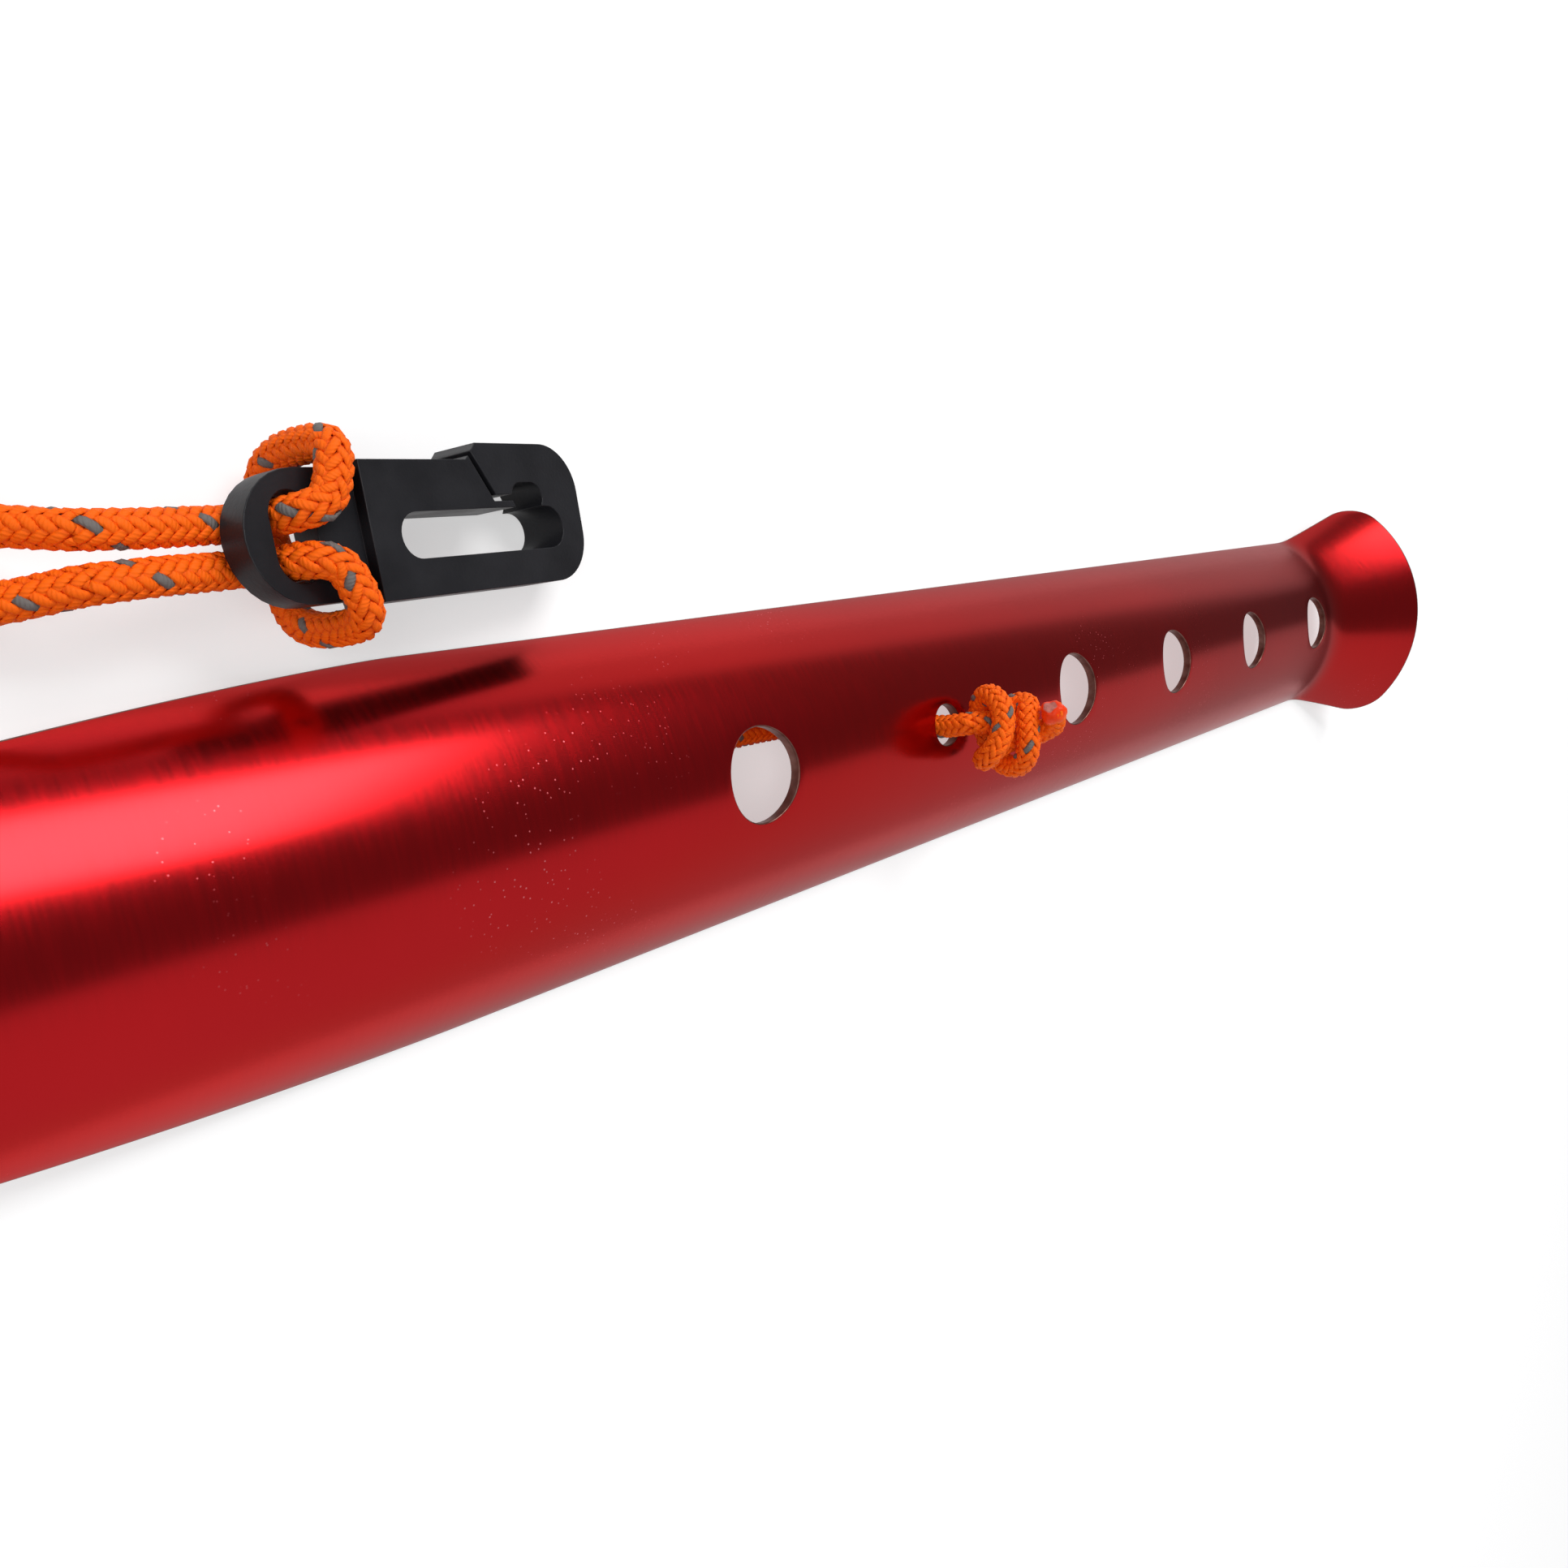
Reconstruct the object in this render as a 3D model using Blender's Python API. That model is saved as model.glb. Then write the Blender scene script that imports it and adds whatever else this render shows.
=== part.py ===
"""Snow peg: a pressed aluminium channel peg, its guy cord and the plastic cord hook.

Metres, +Z up. The peg lies with its rounded side up, on its two long edges at z = 0. Its flared head
points to +X and its tip to -X. The origin is under the middle of the peg, where the cord hole is.
"""

import math

import bmesh
import bpy
import numpy as np
from mathutils import Matrix, Vector

MM = 0.001

# Peg: one pressed sheet
PEG_LENGTH = 310 * MM
SHEET_WALL = 1.2 * MM
BODY_WIDTH = 32 * MM
BODY_RADIUS = 18.3 * MM
TIP_TAPER_LENGTH = 91.5 * MM
TIP_TAPER_POWER = 1.32
TIP_POINT_RADIUS = 5 * MM

# Flared head
FLARE_LENGTH = 21 * MM
FLARE_POWER = 1.15
FLARE_BEND = 3 * MM
RIM_RADIUS = 26.6 * MM
RIM_HALF_ARC = 26.5 * MM
RIM_RISE = 1.4 * MM
RIM_CORNER = 6 * MM

# Holes along the crown
HOLE_PITCH = 31 * MM
BIG_HOLE = 9.5 * MM
CORD_HOLE = 4.8 * MM
HEAD_SIDE_HOLES = 4
TIP_SIDE_HOLES = 1

# Guy cord
CORD = 2.8 * MM
CORD_GAP = 0.3 * MM
FLOOR_GAP = 0.05 * MM
KNOT_GAP = 0.15 * MM

# Steps along a cord, in cord diameters
KNOT_STEP = 0.45
CORD_STEP = 1.6

# A knot's wraps, in knot pitches
WRAP_TURNS = 1.5
WRAP_START = 0.8
WRAP_ADVANCE = 1.0
WRAP_HALF_WIDTH = 1.5
WRAP_HALF_HEIGHT = 1.1
CORE_ASIDE = 0.45
CORE_REACH = 2.4

# How a knot's turns are eased apart
SETTLE_SWEEPS = 400
SETTLE_PULL = 0.12
SETTLE_PUSH = 0.6
SAME_TURN = 2.4
BEND_RUN = 1.35
BEND_WIDTH = 1.06

# Stopper knot, on the crown beside the cord hole
STOPPER_AHEAD = 3.8 * MM
STOPPER_ASIDE = -1.3 * MM
STOPPER_LIFT = 4.9 * MM
STOPPER_PITCH_UP = math.radians(20)
STOPPER_YAW = math.radians(-12)

# Loop knot, where the cord's own end closes the loop
LOOP_KNOT_PLACE = (-123 * MM, 28.5 * MM)
LOOP_KNOT_YAW = math.radians(-3)

# Cord hook: one plastic moulding
HOOK_LENGTH = 34 * MM
HOOK_WIDTH = 10.2 * MM
HOOK_THICK = 4.6 * MM
HEAD_STEP = 1.3 * MM
HEAD_START = 22.6 * MM
HOOK_END_RADIUS = 4 * MM
TAB_WIDTH = 9.4 * MM
TAB_THICK = 2.6 * MM
TAB_LENGTH = 9.6 * MM
TAB_HOLE_LENGTH = 6.4 * MM
TAB_HOLE_WIDTH = 3.6 * MM
TAB_HOLE_WALL = 2.2 * MM
SLOT_START = 13.4 * MM
SLOT_END_WALL = 2.6 * MM
SLOT_WIDTH = 3.5 * MM
SLOT_OFFSET = -0.5 * MM
EYE_LENGTH = 3.6 * MM
EYE_WIDTH = 2.4 * MM
EYE_AHEAD = 5 * MM
SLIT_WIDTH = 0.5 * MM

# Where the hook hangs on its loop, and how it lies
HOOK_PIVOT = (-79 * MM, 24.6 * MM)
HOOK_YAW = math.radians(2)
PIVOT_TO_TAB = 1 * MM
HITCH_SPREAD = 3.6 * MM
HITCH_BEND = 2.2 * MM
STRAND_LEAD = 3 * MM
SWING_RADIUS = 3.05 * MM

# Mesh fineness
ARC_STEPS = 28
FLARE_STEPS = 10
TAPER_STEPS = 12
POINT_STEPS = 7
HOLE_STEPS = 32


# Sizes that follow from the ones above
BODY_HALF_ANGLE = math.asin(BODY_WIDTH / 2 / BODY_RADIUS)
BODY_HALF_ARC = BODY_RADIUS * BODY_HALF_ANGLE
BODY_CENTRE = -BODY_RADIUS * math.cos(BODY_HALF_ANGLE)
CROWN = BODY_RADIUS + BODY_CENTRE
TIP_X = -PEG_LENGTH / 2
RIM_X = PEG_LENGTH / 2
FLARE_X = RIM_X - FLARE_LENGTH
BODY_END_X = FLARE_X - FLARE_BEND
TAPER_X = TIP_X + TIP_TAPER_LENGTH
EDGE_OVERRUN = math.radians(2)
CORD_RADIUS = CORD / 2
CORD_LEVEL = CORD_RADIUS + FLOOR_GAP
KNOT_PITCH = CORD + KNOT_GAP


def clear_scene():
    for item in list(bpy.data.objects):
        bpy.data.objects.remove(item, do_unlink=True)


def make_material(name, colour, roughness, metallic):
    material = bpy.data.materials.new(name)
    material.use_nodes = True
    shader = material.node_tree.nodes["Principled BSDF"]
    shader.inputs["Base Color"].default_value = (*colour, 1.0)
    shader.inputs["Roughness"].default_value = roughness
    shader.inputs["Metallic"].default_value = metallic
    return material


def add_object(name, data, material):
    thing = bpy.data.objects.new(name, data)
    bpy.context.collection.objects.link(thing)
    if material is not None:
        data.materials.append(material)
    return thing


def add_mesh(name, mesh_tool, material):
    mesh = bpy.data.meshes.new(name)
    bmesh.ops.recalc_face_normals(mesh_tool, faces=mesh_tool.faces)
    mesh_tool.to_mesh(mesh)
    mesh_tool.free()
    return add_object(name, mesh, material)


def as_cutter(thing):
    thing.hide_render = True
    thing.display_type = "WIRE"
    return thing


def add_boolean(thing, other, operation):
    modifier = thing.modifiers.new(operation.lower(), "BOOLEAN")
    modifier.operation = operation
    modifier.solver = "EXACT"
    modifier.object = other


def shade_smooth(thing, degrees):
    thing.data.shade_smooth()
    thing.data.set_sharp_from_angle(angle=math.radians(degrees))


# The pressed sheet: its section and outline along the peg


def flare_share(x):
    """0 along the body, rising to 1 at the rim, with a soft bend where the flare starts."""
    if x <= BODY_END_X:
        return 0.0
    run = x - FLARE_X
    if run < FLARE_BEND:
        run = (run + FLARE_BEND) ** 2 / (4 * FLARE_BEND)
    return (run / FLARE_LENGTH) ** FLARE_POWER


def section_radius(x):
    return BODY_RADIUS + (RIM_RADIUS - BODY_RADIUS) * flare_share(x)


def section_centre(x):
    return BODY_CENTRE + RIM_RISE * flare_share(x)


def tip_half_arc(x):
    """Half the sheet's developed width in the tapered tip, with its round point."""
    point_cut = 2.4 * TIP_POINT_RADIUS
    taper = BODY_HALF_ARC
    if x < TAPER_X:
        run = (TAPER_X - x) / (TIP_TAPER_LENGTH + point_cut)
        taper = BODY_HALF_ARC * (1 - run ** TIP_TAPER_POWER)
    depth = x - TIP_X
    if depth < TIP_POINT_RADIUS:
        point = math.sqrt(max(0.0, 2 * TIP_POINT_RADIUS * depth - depth ** 2))
        return min(taper, point)
    return taper


def rim_corner_cut(x):
    """How much of the developed half width the rounded rim corner takes away."""
    depth = RIM_X - x
    if depth >= RIM_CORNER:
        return 0.0
    return RIM_CORNER - math.sqrt(RIM_CORNER ** 2 - (RIM_CORNER - depth) ** 2)


def half_arc(x):
    if x <= BODY_END_X:
        return tip_half_arc(x)
    full = BODY_HALF_ARC + (RIM_HALF_ARC - BODY_HALF_ARC) * flare_share(x)
    return full - rim_corner_cut(x)


def sheet_stations():
    """The x positions of the sheet's sections, from the tip to the rim."""
    stations = []
    for step in range(1, POINT_STEPS + 1):
        turn = math.radians(75) * step / POINT_STEPS
        stations.append(TIP_X + TIP_POINT_RADIUS * (1 - math.cos(turn)))
    start = stations[-1]
    for step in range(1, TAPER_STEPS + 1):
        stations.append(start + (TAPER_X - start) * step / TAPER_STEPS)
    stations.append(FLARE_X - RIM_CORNER)
    corner_x = RIM_X - RIM_CORNER
    for step in range(FLARE_STEPS + 1):
        stations.append(BODY_END_X + (corner_x - BODY_END_X) * step / FLARE_STEPS)
    for step in range(1, FLARE_STEPS // 2 + 1):
        turn = math.radians(90) * step / (FLARE_STEPS // 2)
        stations.append(RIM_X - RIM_CORNER * (1 - math.sin(turn)))
    return stations


def sheet_point(x, share):
    """A point of the sheet's outer face; share runs from -1 to 1 across it."""
    radius = section_radius(x)
    angle = half_arc(x) / radius * share
    if TAPER_X <= x <= BODY_END_X:
        angle += EDGE_OVERRUN * share
    return (x, radius * math.sin(angle), section_centre(x) + radius * math.cos(angle))


def make_sheet(material):
    """The whole outer face as one grid, thickened inwards."""
    tool = bmesh.new()
    rows = []
    for x in sheet_stations():
        row = []
        for step in range(ARC_STEPS + 1):
            row.append(tool.verts.new(sheet_point(x, 2 * step / ARC_STEPS - 1)))
        rows.append(row)
    for low, high in zip(rows, rows[1:]):
        for step in range(ARC_STEPS):
            tool.faces.new((low[step], high[step], high[step + 1], low[step + 1]))
    sheet = add_mesh("peg_body", tool, material)
    crown_face = sheet.data.polygons[len(sheet.data.polygons) // 2]
    thicken = sheet.modifiers.new("wall", "SOLIDIFY")
    thicken.thickness = SHEET_WALL
    thicken.offset = -1 if crown_face.normal.z > 0 else 1
    thicken.use_even_offset = True
    return sheet


def make_box(name, low, high):
    tool = bmesh.new()
    bmesh.ops.create_cube(tool, size=1)
    size = Vector(high) - Vector(low)
    middle = (Vector(high) + Vector(low)) / 2
    bmesh.ops.scale(tool, vec=size, verts=tool.verts)
    bmesh.ops.translate(tool, vec=middle, verts=tool.verts)
    return add_mesh(name, tool, None)


def make_hole_cutters():
    """Upright round bars in one object, one for each hole along the crown."""
    tool = bmesh.new()
    for number in range(-TIP_SIDE_HOLES, HEAD_SIDE_HOLES + 1):
        diameter = CORD_HOLE if number == 0 else BIG_HOLE
        bmesh.ops.create_cone(
            tool,
            cap_ends=True,
            segments=HOLE_STEPS,
            radius1=diameter / 2,
            radius2=diameter / 2,
            depth=2 * CROWN,
            matrix=Matrix.Translation((number * HOLE_PITCH, 0, CROWN)),
        )
    return add_mesh("hole_cutters", tool, None)


def make_peg_body(material):
    """Sheet, with its long edges dressed flat at z = 0 and its holes punched."""
    sheet = make_sheet(material)
    floor = make_box("edge_cutter", (TIP_X, -BODY_WIDTH, -BODY_RADIUS), (RIM_X, BODY_WIDTH, 0))
    add_boolean(sheet, as_cutter(floor), "DIFFERENCE")
    add_boolean(sheet, as_cutter(make_hole_cutters()), "DIFFERENCE")
    shade_smooth(sheet, 40)
    return sheet


# Cords and knots


def smooth_route(points, step):
    """Points at about equal steps on a smooth curve through the given ones."""
    ends = [points[0] * 2 - points[1]] + points + [points[-1] * 2 - points[-2]]
    fine = []
    for index in range(1, len(ends) - 2):
        before, here, there, after = ends[index - 1:index + 3]
        for part in range(12):
            fine.append(catmull_rom(before, here, there, after, part / 12))
    fine.append(points[-1])
    total = sum((b - a).length for a, b in zip(fine, fine[1:]))
    count = max(2, round(total / step))
    wanted = total / count
    route = [fine[0]]
    run = 0.0
    for a, b in zip(fine, fine[1:]):
        piece = (b - a).length
        while run + piece >= wanted * len(route) and len(route) < count:
            route.append(a.lerp(b, (wanted * len(route) - run) / piece))
        run += piece
    route.append(fine[-1])
    return route


def free_stretch(points):
    """A cord's free stretch, whose two ends stay square to what they meet."""
    route = smooth_route(points, CORD_STEP * CORD)
    start_way = (points[1] - points[0]).normalized()
    end_way = (points[-2] - points[-1]).normalized()
    route.insert(1, points[0] + start_way * CORD_RADIUS)
    route.insert(-1, points[-1] + end_way * CORD_RADIUS)
    return route


def catmull_rom(before, here, there, after, part):
    lift = part * part
    cube = lift * part
    return 0.5 * (
        2 * here
        + (there - before) * part
        + (2 * before - 5 * here + 4 * there - after) * lift
        + (3 * here - before - 3 * there + after) * cube
    )


def make_cord(name, points, material):
    curve = bpy.data.curves.new(name, "CURVE")
    curve.dimensions = "3D"
    curve.bevel_depth = CORD_RADIUS
    curve.bevel_resolution = 2
    curve.use_fill_caps = True
    spline = curve.splines.new("POLY")
    spline.points.add(len(points) - 1)
    for slot, point in zip(spline.points, points):
        slot.co = (*point, 1.0)
    return add_object(name, curve, material)


def nearest_shares(start_a, run_a, start_b, run_b):
    """Shares along two sets of straight runs at which each pair comes nearest."""
    offset = start_a - start_b
    a_a = (run_a * run_a).sum(axis=1)
    a_b = (run_a * run_b).sum(axis=1)
    b_b = (run_b * run_b).sum(axis=1)
    a_off = (run_a * offset).sum(axis=1)
    b_off = (run_b * offset).sum(axis=1)
    spread = np.maximum(a_a * b_b - a_b * a_b, 1e-9 * a_a * b_b)
    share_a = np.clip((a_b * b_off - b_b * a_off) / spread, 0, 1)
    share_b = np.clip((a_b * share_a + b_off) / b_b, 0, 1)
    share_a = np.clip((a_b * share_b - a_off) / a_a, 0, 1)
    return share_a[:, None], share_b[:, None]


def settle(strands, held, keep_out):
    """Draw a knot's strands tight, while no strand comes nearer to another than a cord's width.

    strands are lists of points, held the points of each that stay (from its start and from its
    end), and keep_out moves all points clear of what the knot lies on.
    """
    step = KNOT_STEP * CORD
    strands = [smooth_route(strand, step) for strand in strands]
    points = np.array([tuple(point) for strand in strands for point in strand])
    first = np.cumsum([0] + [len(strand) for strand in strands])
    free = np.zeros((len(points), 1))
    runs = []
    for number, (start_held, end_held) in enumerate(held):
        low, high = first[number], first[number + 1]
        free[low + start_held:high - end_held] = 1
        runs += [(index, number) for index in range(low, high - 1)]
    near = SAME_TURN * CORD / step
    pairs = [
        (a, b)
        for a, strand_a in runs
        for b, strand_b in runs
        if b > a and (strand_a != strand_b or b - a > near)
    ]
    index_a = np.array([a for a, b in pairs])
    index_b = np.array([b for a, b in pairs])
    bend = round(BEND_RUN * CORD / step)
    for sweep in range(SETTLE_SWEEPS):
        move = np.zeros_like(points)
        if sweep < SETTLE_SWEEPS * 0.8:
            for low, high in zip(first, first[1:]):
                middle = (points[low:high - 2] + points[low + 2:high]) / 2
                move[low + 1:high - 1] = SETTLE_PULL * (middle - points[low + 1:high - 1])
        run_a = points[index_a + 1] - points[index_a]
        run_b = points[index_b + 1] - points[index_b]
        share_a, share_b = nearest_shares(points[index_a], run_a, points[index_b], run_b)
        apart = points[index_a] + run_a * share_a - points[index_b] - run_b * share_b
        length = np.sqrt((apart * apart).sum(axis=1))[:, None]
        push = SETTLE_PUSH * np.maximum(KNOT_PITCH - length, 0) * apart / length / 2
        np.add.at(move, index_a, push * (1 - share_a))
        np.add.at(move, index_a + 1, push * share_a)
        np.add.at(move, index_b, -push * (1 - share_b))
        np.add.at(move, index_b + 1, -push * share_b)
        for low, high in zip(first, first[1:]):
            chord = points[low + bend:high] - points[low:high - bend]
            length = np.sqrt((chord * chord).sum(axis=1))[:, None]
            push = SETTLE_PUSH * np.maximum(BEND_WIDTH * CORD - length, 0) * chord / length / 4
            move[low + bend:high] += push
            move[low:high - bend] -= push
        points += move * free
        points += (keep_out(points) - points) * free
    return [[Vector(point) for point in points[low:high]] for low, high in zip(first, first[1:])]


def above_floor(points):
    lifted = points.copy()
    lifted[:, 2] = np.maximum(points[:, 2], CORD_LEVEL)
    return lifted


def above_crown(points):
    """Clear of the peg's round back."""
    least = BODY_RADIUS + CORD_RADIUS + CORD_GAP
    out = points - np.array((0, 0, BODY_CENTRE))
    out[:, 0] = 0
    reach = np.sqrt((out * out).sum(axis=1))[:, None]
    return points + out / reach * np.maximum(least - reach, 0)


def knot_frame(origin, yaw, pitch_up):
    """Axes of a knot: along the strand that enters it, across it, and out of it."""
    turn = Matrix.Rotation(yaw, 4, "Z") @ Matrix.Rotation(-pitch_up, 4, "Y")
    return Matrix.Translation(origin) @ turn


def placed(frame, points):
    """Knot points, counted in knot pitches, as places beside the peg."""
    return [frame @ (Vector(point) * KNOT_PITCH) for point in points]


def barrel_knot_points():
    """Turns round the entering strand, and back inside them to the tail, which curls up.

    Along the entering strand, across it, and out towards the side that shows both turns.
    """
    points = []
    steps = round(WRAP_TURNS * 8)
    for step in range(steps + 1):
        turn = math.radians(45 * step)
        points.append((
            WRAP_START - WRAP_ADVANCE * step / 8,
            WRAP_HALF_WIDTH * math.cos(turn),
            WRAP_HALF_HEIGHT * math.sin(turn),
        ))
    points += [
        (-1.3, -1.05, -0.4),
        (-1.35, -0.6, -0.15),
        (-0.8, -0.5, 0.0),
        (0.1, -0.5, 0.0),
        (0.85, -0.65, 0.0),
        (1.4, -0.65, 0.0),
        (1.7, -0.2, 0.1),
        (1.7, 0.35, 0.5),
        (1.5, 0.65, 1.1),
        (1.1, 0.75, 1.6),
    ]
    return points


def stopper_knot():
    """From the strand that comes out of the cord hole, through the knot to its tail."""
    frame = knot_frame((STOPPER_AHEAD, STOPPER_ASIDE, CROWN + STOPPER_LIFT), STOPPER_YAW, STOPPER_PITCH_UP)
    through = [
        (-1.45, 0.2, -0.05),
        (-1.0, 0.25, 0.0),
        (-0.4, 0.35, 0.0),
        (0.2, 0.45, 0.0),
        (0.9, 0.5, 0.0),
        (1.45, 0.95, -0.05),
    ]
    whole = placed(frame, through + barrel_knot_points())
    return settle([whole], [(2, 1)], above_crown)[0]


def loop_knot():
    """The guy cord's stretch through the knot, and the loop's returning side tied round it."""
    level = 1.5 * KNOT_PITCH + CORD_LEVEL
    frame = knot_frame((*LOOP_KNOT_PLACE, level), LOOP_KNOT_YAW, 0)
    through = [(along, CORE_ASIDE, 0.0) for along in (-CORE_REACH, CORE_REACH)]
    entry = [(2.7, 1.5, -0.6), (1.8, 1.65, -0.2)]
    strands = [placed(frame, through), placed(frame, entry + barrel_knot_points())]
    whole_core = round(2 * CORE_REACH * KNOT_PITCH / KNOT_STEP / CORD) + 1
    return settle(strands, [(whole_core, 0), (1, 1)], above_floor)


# Cord hook


def hook_outline():
    """Outline of the hook's thick part, seen from above; u along it, v across it."""
    back = PIVOT_TO_TAB + TAB_LENGTH
    end = HOOK_LENGTH
    low = -HOOK_WIDTH / 2
    high = HOOK_WIDTH / 2
    top = high + HEAD_STEP
    outline = [(back, low), (end - HOOK_END_RADIUS, low)]
    for step in range(1, 9):
        turn = math.radians(90) * step / 8
        outline.append((
            end - HOOK_END_RADIUS * (1 - math.sin(turn)),
            low + HOOK_END_RADIUS * (1 - math.cos(turn)),
        ))
    for step in range(9):
        turn = math.radians(90) * step / 8
        outline.append((
            end - HOOK_END_RADIUS * (1 - math.cos(turn)),
            top - HOOK_END_RADIUS * (1 - math.sin(turn)),
        ))
    outline.append((HEAD_START, top))
    outline.append((HEAD_START - HEAD_STEP, high))
    outline.append((back, high))
    return outline


def stadium(length, width, centre, upright):
    """A slot outline with round ends."""
    points = []
    straight = (length - width) / 2
    for end in (1, -1):
        for step in range(9):
            turn = math.radians(-90 + 180 * step / 8)
            along = end * (straight + width / 2 * math.cos(turn))
            across = end * width / 2 * math.sin(turn)
            if upright:
                along, across = -across, along
            points.append((centre[0] + along, centre[1] + across))
    return points


def make_plate(name, outline, thick, material):
    """An outline raised evenly above and below its middle plane."""
    tool = bmesh.new()
    base = [tool.verts.new((u, v, -thick / 2)) for u, v in outline]
    face = tool.faces.new(base)
    raised = bmesh.ops.extrude_face_region(tool, geom=[face])
    verts = [item for item in raised["geom"] if isinstance(item, bmesh.types.BMVert)]
    bmesh.ops.translate(tool, vec=(0, 0, thick), verts=verts)
    return add_mesh(name, tool, material)


def slit_outline():
    """A narrow saw-cut from the hook's far edge, slanting in and along to the eye."""
    edge = HOOK_WIDTH / 2 + HEAD_STEP
    eye_u, eye_v = eye_centre()
    half = SLIT_WIDTH / 2
    start_u = HEAD_START + half
    knee_u = HEAD_START + 1.6 * MM
    return [
        (start_u - HEAD_STEP, edge),
        (knee_u - half, eye_v + half),
        (eye_u, eye_v + half),
        (eye_u, eye_v - half),
        (knee_u - 2 * half, eye_v - half),
        (start_u - HEAD_STEP - 2 * half, edge),
    ]


def eye_centre():
    return (HEAD_START + EYE_AHEAD, SLOT_OFFSET + (SLOT_WIDTH + EYE_WIDTH) / 2 - 0.4 * MM)


def hook_tilt():
    """The tab is lifted by the cord under it, and the head's end rests on the surface."""
    level_at_neck = TAB_THICK / 2 + 2 * CORD + 2 * CORD_GAP + 2 * FLOOR_GAP
    rise = level_at_neck - HOOK_THICK / 2
    return math.atan2(rise, HOOK_LENGTH - tab_hole_u() - HITCH_SPREAD)


def tab_hole_u():
    return PIVOT_TO_TAB + TAB_HOLE_WALL + TAB_HOLE_WIDTH / 2


def hook_frame():
    """Origin at the pivot, where the loop's two strands enter the hitch."""
    tilt = hook_tilt()
    far_down = math.cos(tilt) * HOOK_THICK / 2 + FLOOR_GAP
    level = far_down + math.sin(tilt) * HOOK_LENGTH
    turn = Matrix.Rotation(HOOK_YAW, 4, "Z") @ Matrix.Rotation(tilt, 4, "Y")
    return Matrix.Translation((*HOOK_PIVOT, level)) @ turn


def make_cord_hook(material, pivot):
    hook = make_plate("cord_hook", hook_outline(), HOOK_THICK, material)
    tab_reach = TAB_LENGTH + TAB_WIDTH / 2
    tab = make_plate(
        "tab_form",
        stadium(tab_reach, TAB_WIDTH, (PIVOT_TO_TAB + tab_reach / 2, 0), False),
        TAB_THICK,
        None,
    )
    add_boolean(hook, as_cutter(tab), "UNION")
    slot_length = HOOK_LENGTH - SLOT_END_WALL - SLOT_START
    cuts = {
        "tab_hole": stadium(TAB_HOLE_LENGTH, TAB_HOLE_WIDTH, (tab_hole_u(), 0), True),
        "slot": stadium(slot_length, SLOT_WIDTH, (SLOT_START + slot_length / 2, SLOT_OFFSET), False),
        "eye": stadium(EYE_LENGTH, EYE_WIDTH, eye_centre(), False),
        "slit": slit_outline(),
    }
    for name, outline in cuts.items():
        cutter = make_plate("hook_" + name, outline, 2 * HOOK_THICK, None)
        cutter.parent = pivot
        add_boolean(hook, as_cutter(cutter), "DIFFERENCE")
    tab.parent = pivot
    hook.parent = pivot
    return hook


def hitch_points():
    """The girth hitch: one strand in, up through the tab, round under it and back."""
    low = -(TAB_THICK / 2 + CORD_GAP + CORD_RADIUS)
    high = -low
    under = low - CORD - CORD_GAP
    side = CORD_RADIUS + CORD_GAP / 2
    hole_u = tab_hole_u()
    neck_u = hole_u + HITCH_SPREAD
    out = TAB_WIDTH / 2 + CORD_GAP + CORD_RADIUS
    turn = HITCH_BEND * (1 - math.sqrt(0.5))
    half = [
        Vector((-SWING_RADIUS, side, low)),
        Vector((0, side, low)),
        Vector((hole_u - HITCH_BEND, side, low)),
        Vector((hole_u - turn, side, low + turn)),
        Vector((hole_u, 1.03 * side, low + HITCH_BEND)),
        Vector((hole_u, 1.03 * side, high - HITCH_BEND)),
        Vector((hole_u + turn, 1.1 * side, high - turn)),
        Vector((hole_u + 0.9 * HITCH_BEND, 1.5 * side, high)),
        Vector((neck_u - 0.15 * CORD, 0.86 * out, high)),
        Vector((neck_u, out, 0.45 * high)),
        Vector((neck_u, out, low)),
        Vector((neck_u, 0.8 * out, under + 0.2 * CORD)),
        Vector((neck_u, 0.3 * out, under)),
    ]
    other = [Vector((p.x, -p.y, p.z)) for p in reversed(half)]
    return half + other


def swing_cutter():
    """Takes away what lies behind the hinge, outside the round ends that swing clear."""
    side = TAB_WIDTH
    outline = [(-side, -side), (0, -side)]
    for step in range(HOLE_STEPS + 1):
        turn = math.radians(-90 - 180 * step / HOLE_STEPS)
        outline.append((SWING_RADIUS * math.cos(turn), SWING_RADIUS * math.sin(turn)))
    outline += [(0, side), (-side, side)]
    cutter = make_plate("swing_cutter", outline, HOOK_LENGTH, None)
    cutter.matrix_world = Matrix.Translation((*HOOK_PIVOT, 0)) @ Matrix.Rotation(HOOK_YAW, 4, "Z")
    return as_cutter(cutter)


def make_hitch(material, pivot):
    """The tied cord, its two ends cut round about the hinge."""
    form = make_cord("hitch_form", smooth_route(hitch_points(), KNOT_STEP * CORD), material)
    hitch = add_object("girth_hitch", bpy.data.meshes.new_from_object(form), None)
    bpy.data.objects.remove(form, do_unlink=True)
    add_boolean(hitch, swing_cutter(), "DIFFERENCE")
    hitch.parent = pivot
    return hitch


def strand_ends(side):
    """Where one of the loop's strands meets the hitch, clear of its swing and in line with it."""
    top = -(TAB_THICK / 2 + CORD_GAP)
    low = top - CORD_RADIUS
    across = side * (CORD_RADIUS + CORD_GAP / 2)
    tilt = hook_tilt()
    clear = (SWING_RADIUS + CORD_GAP + top * math.sin(tilt)) / math.cos(tilt)
    meeting = hook_frame() @ Vector((-clear, across, low))
    before = hook_frame() @ Vector((-clear - STRAND_LEAD, across, low))
    return [before, meeting]


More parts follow.
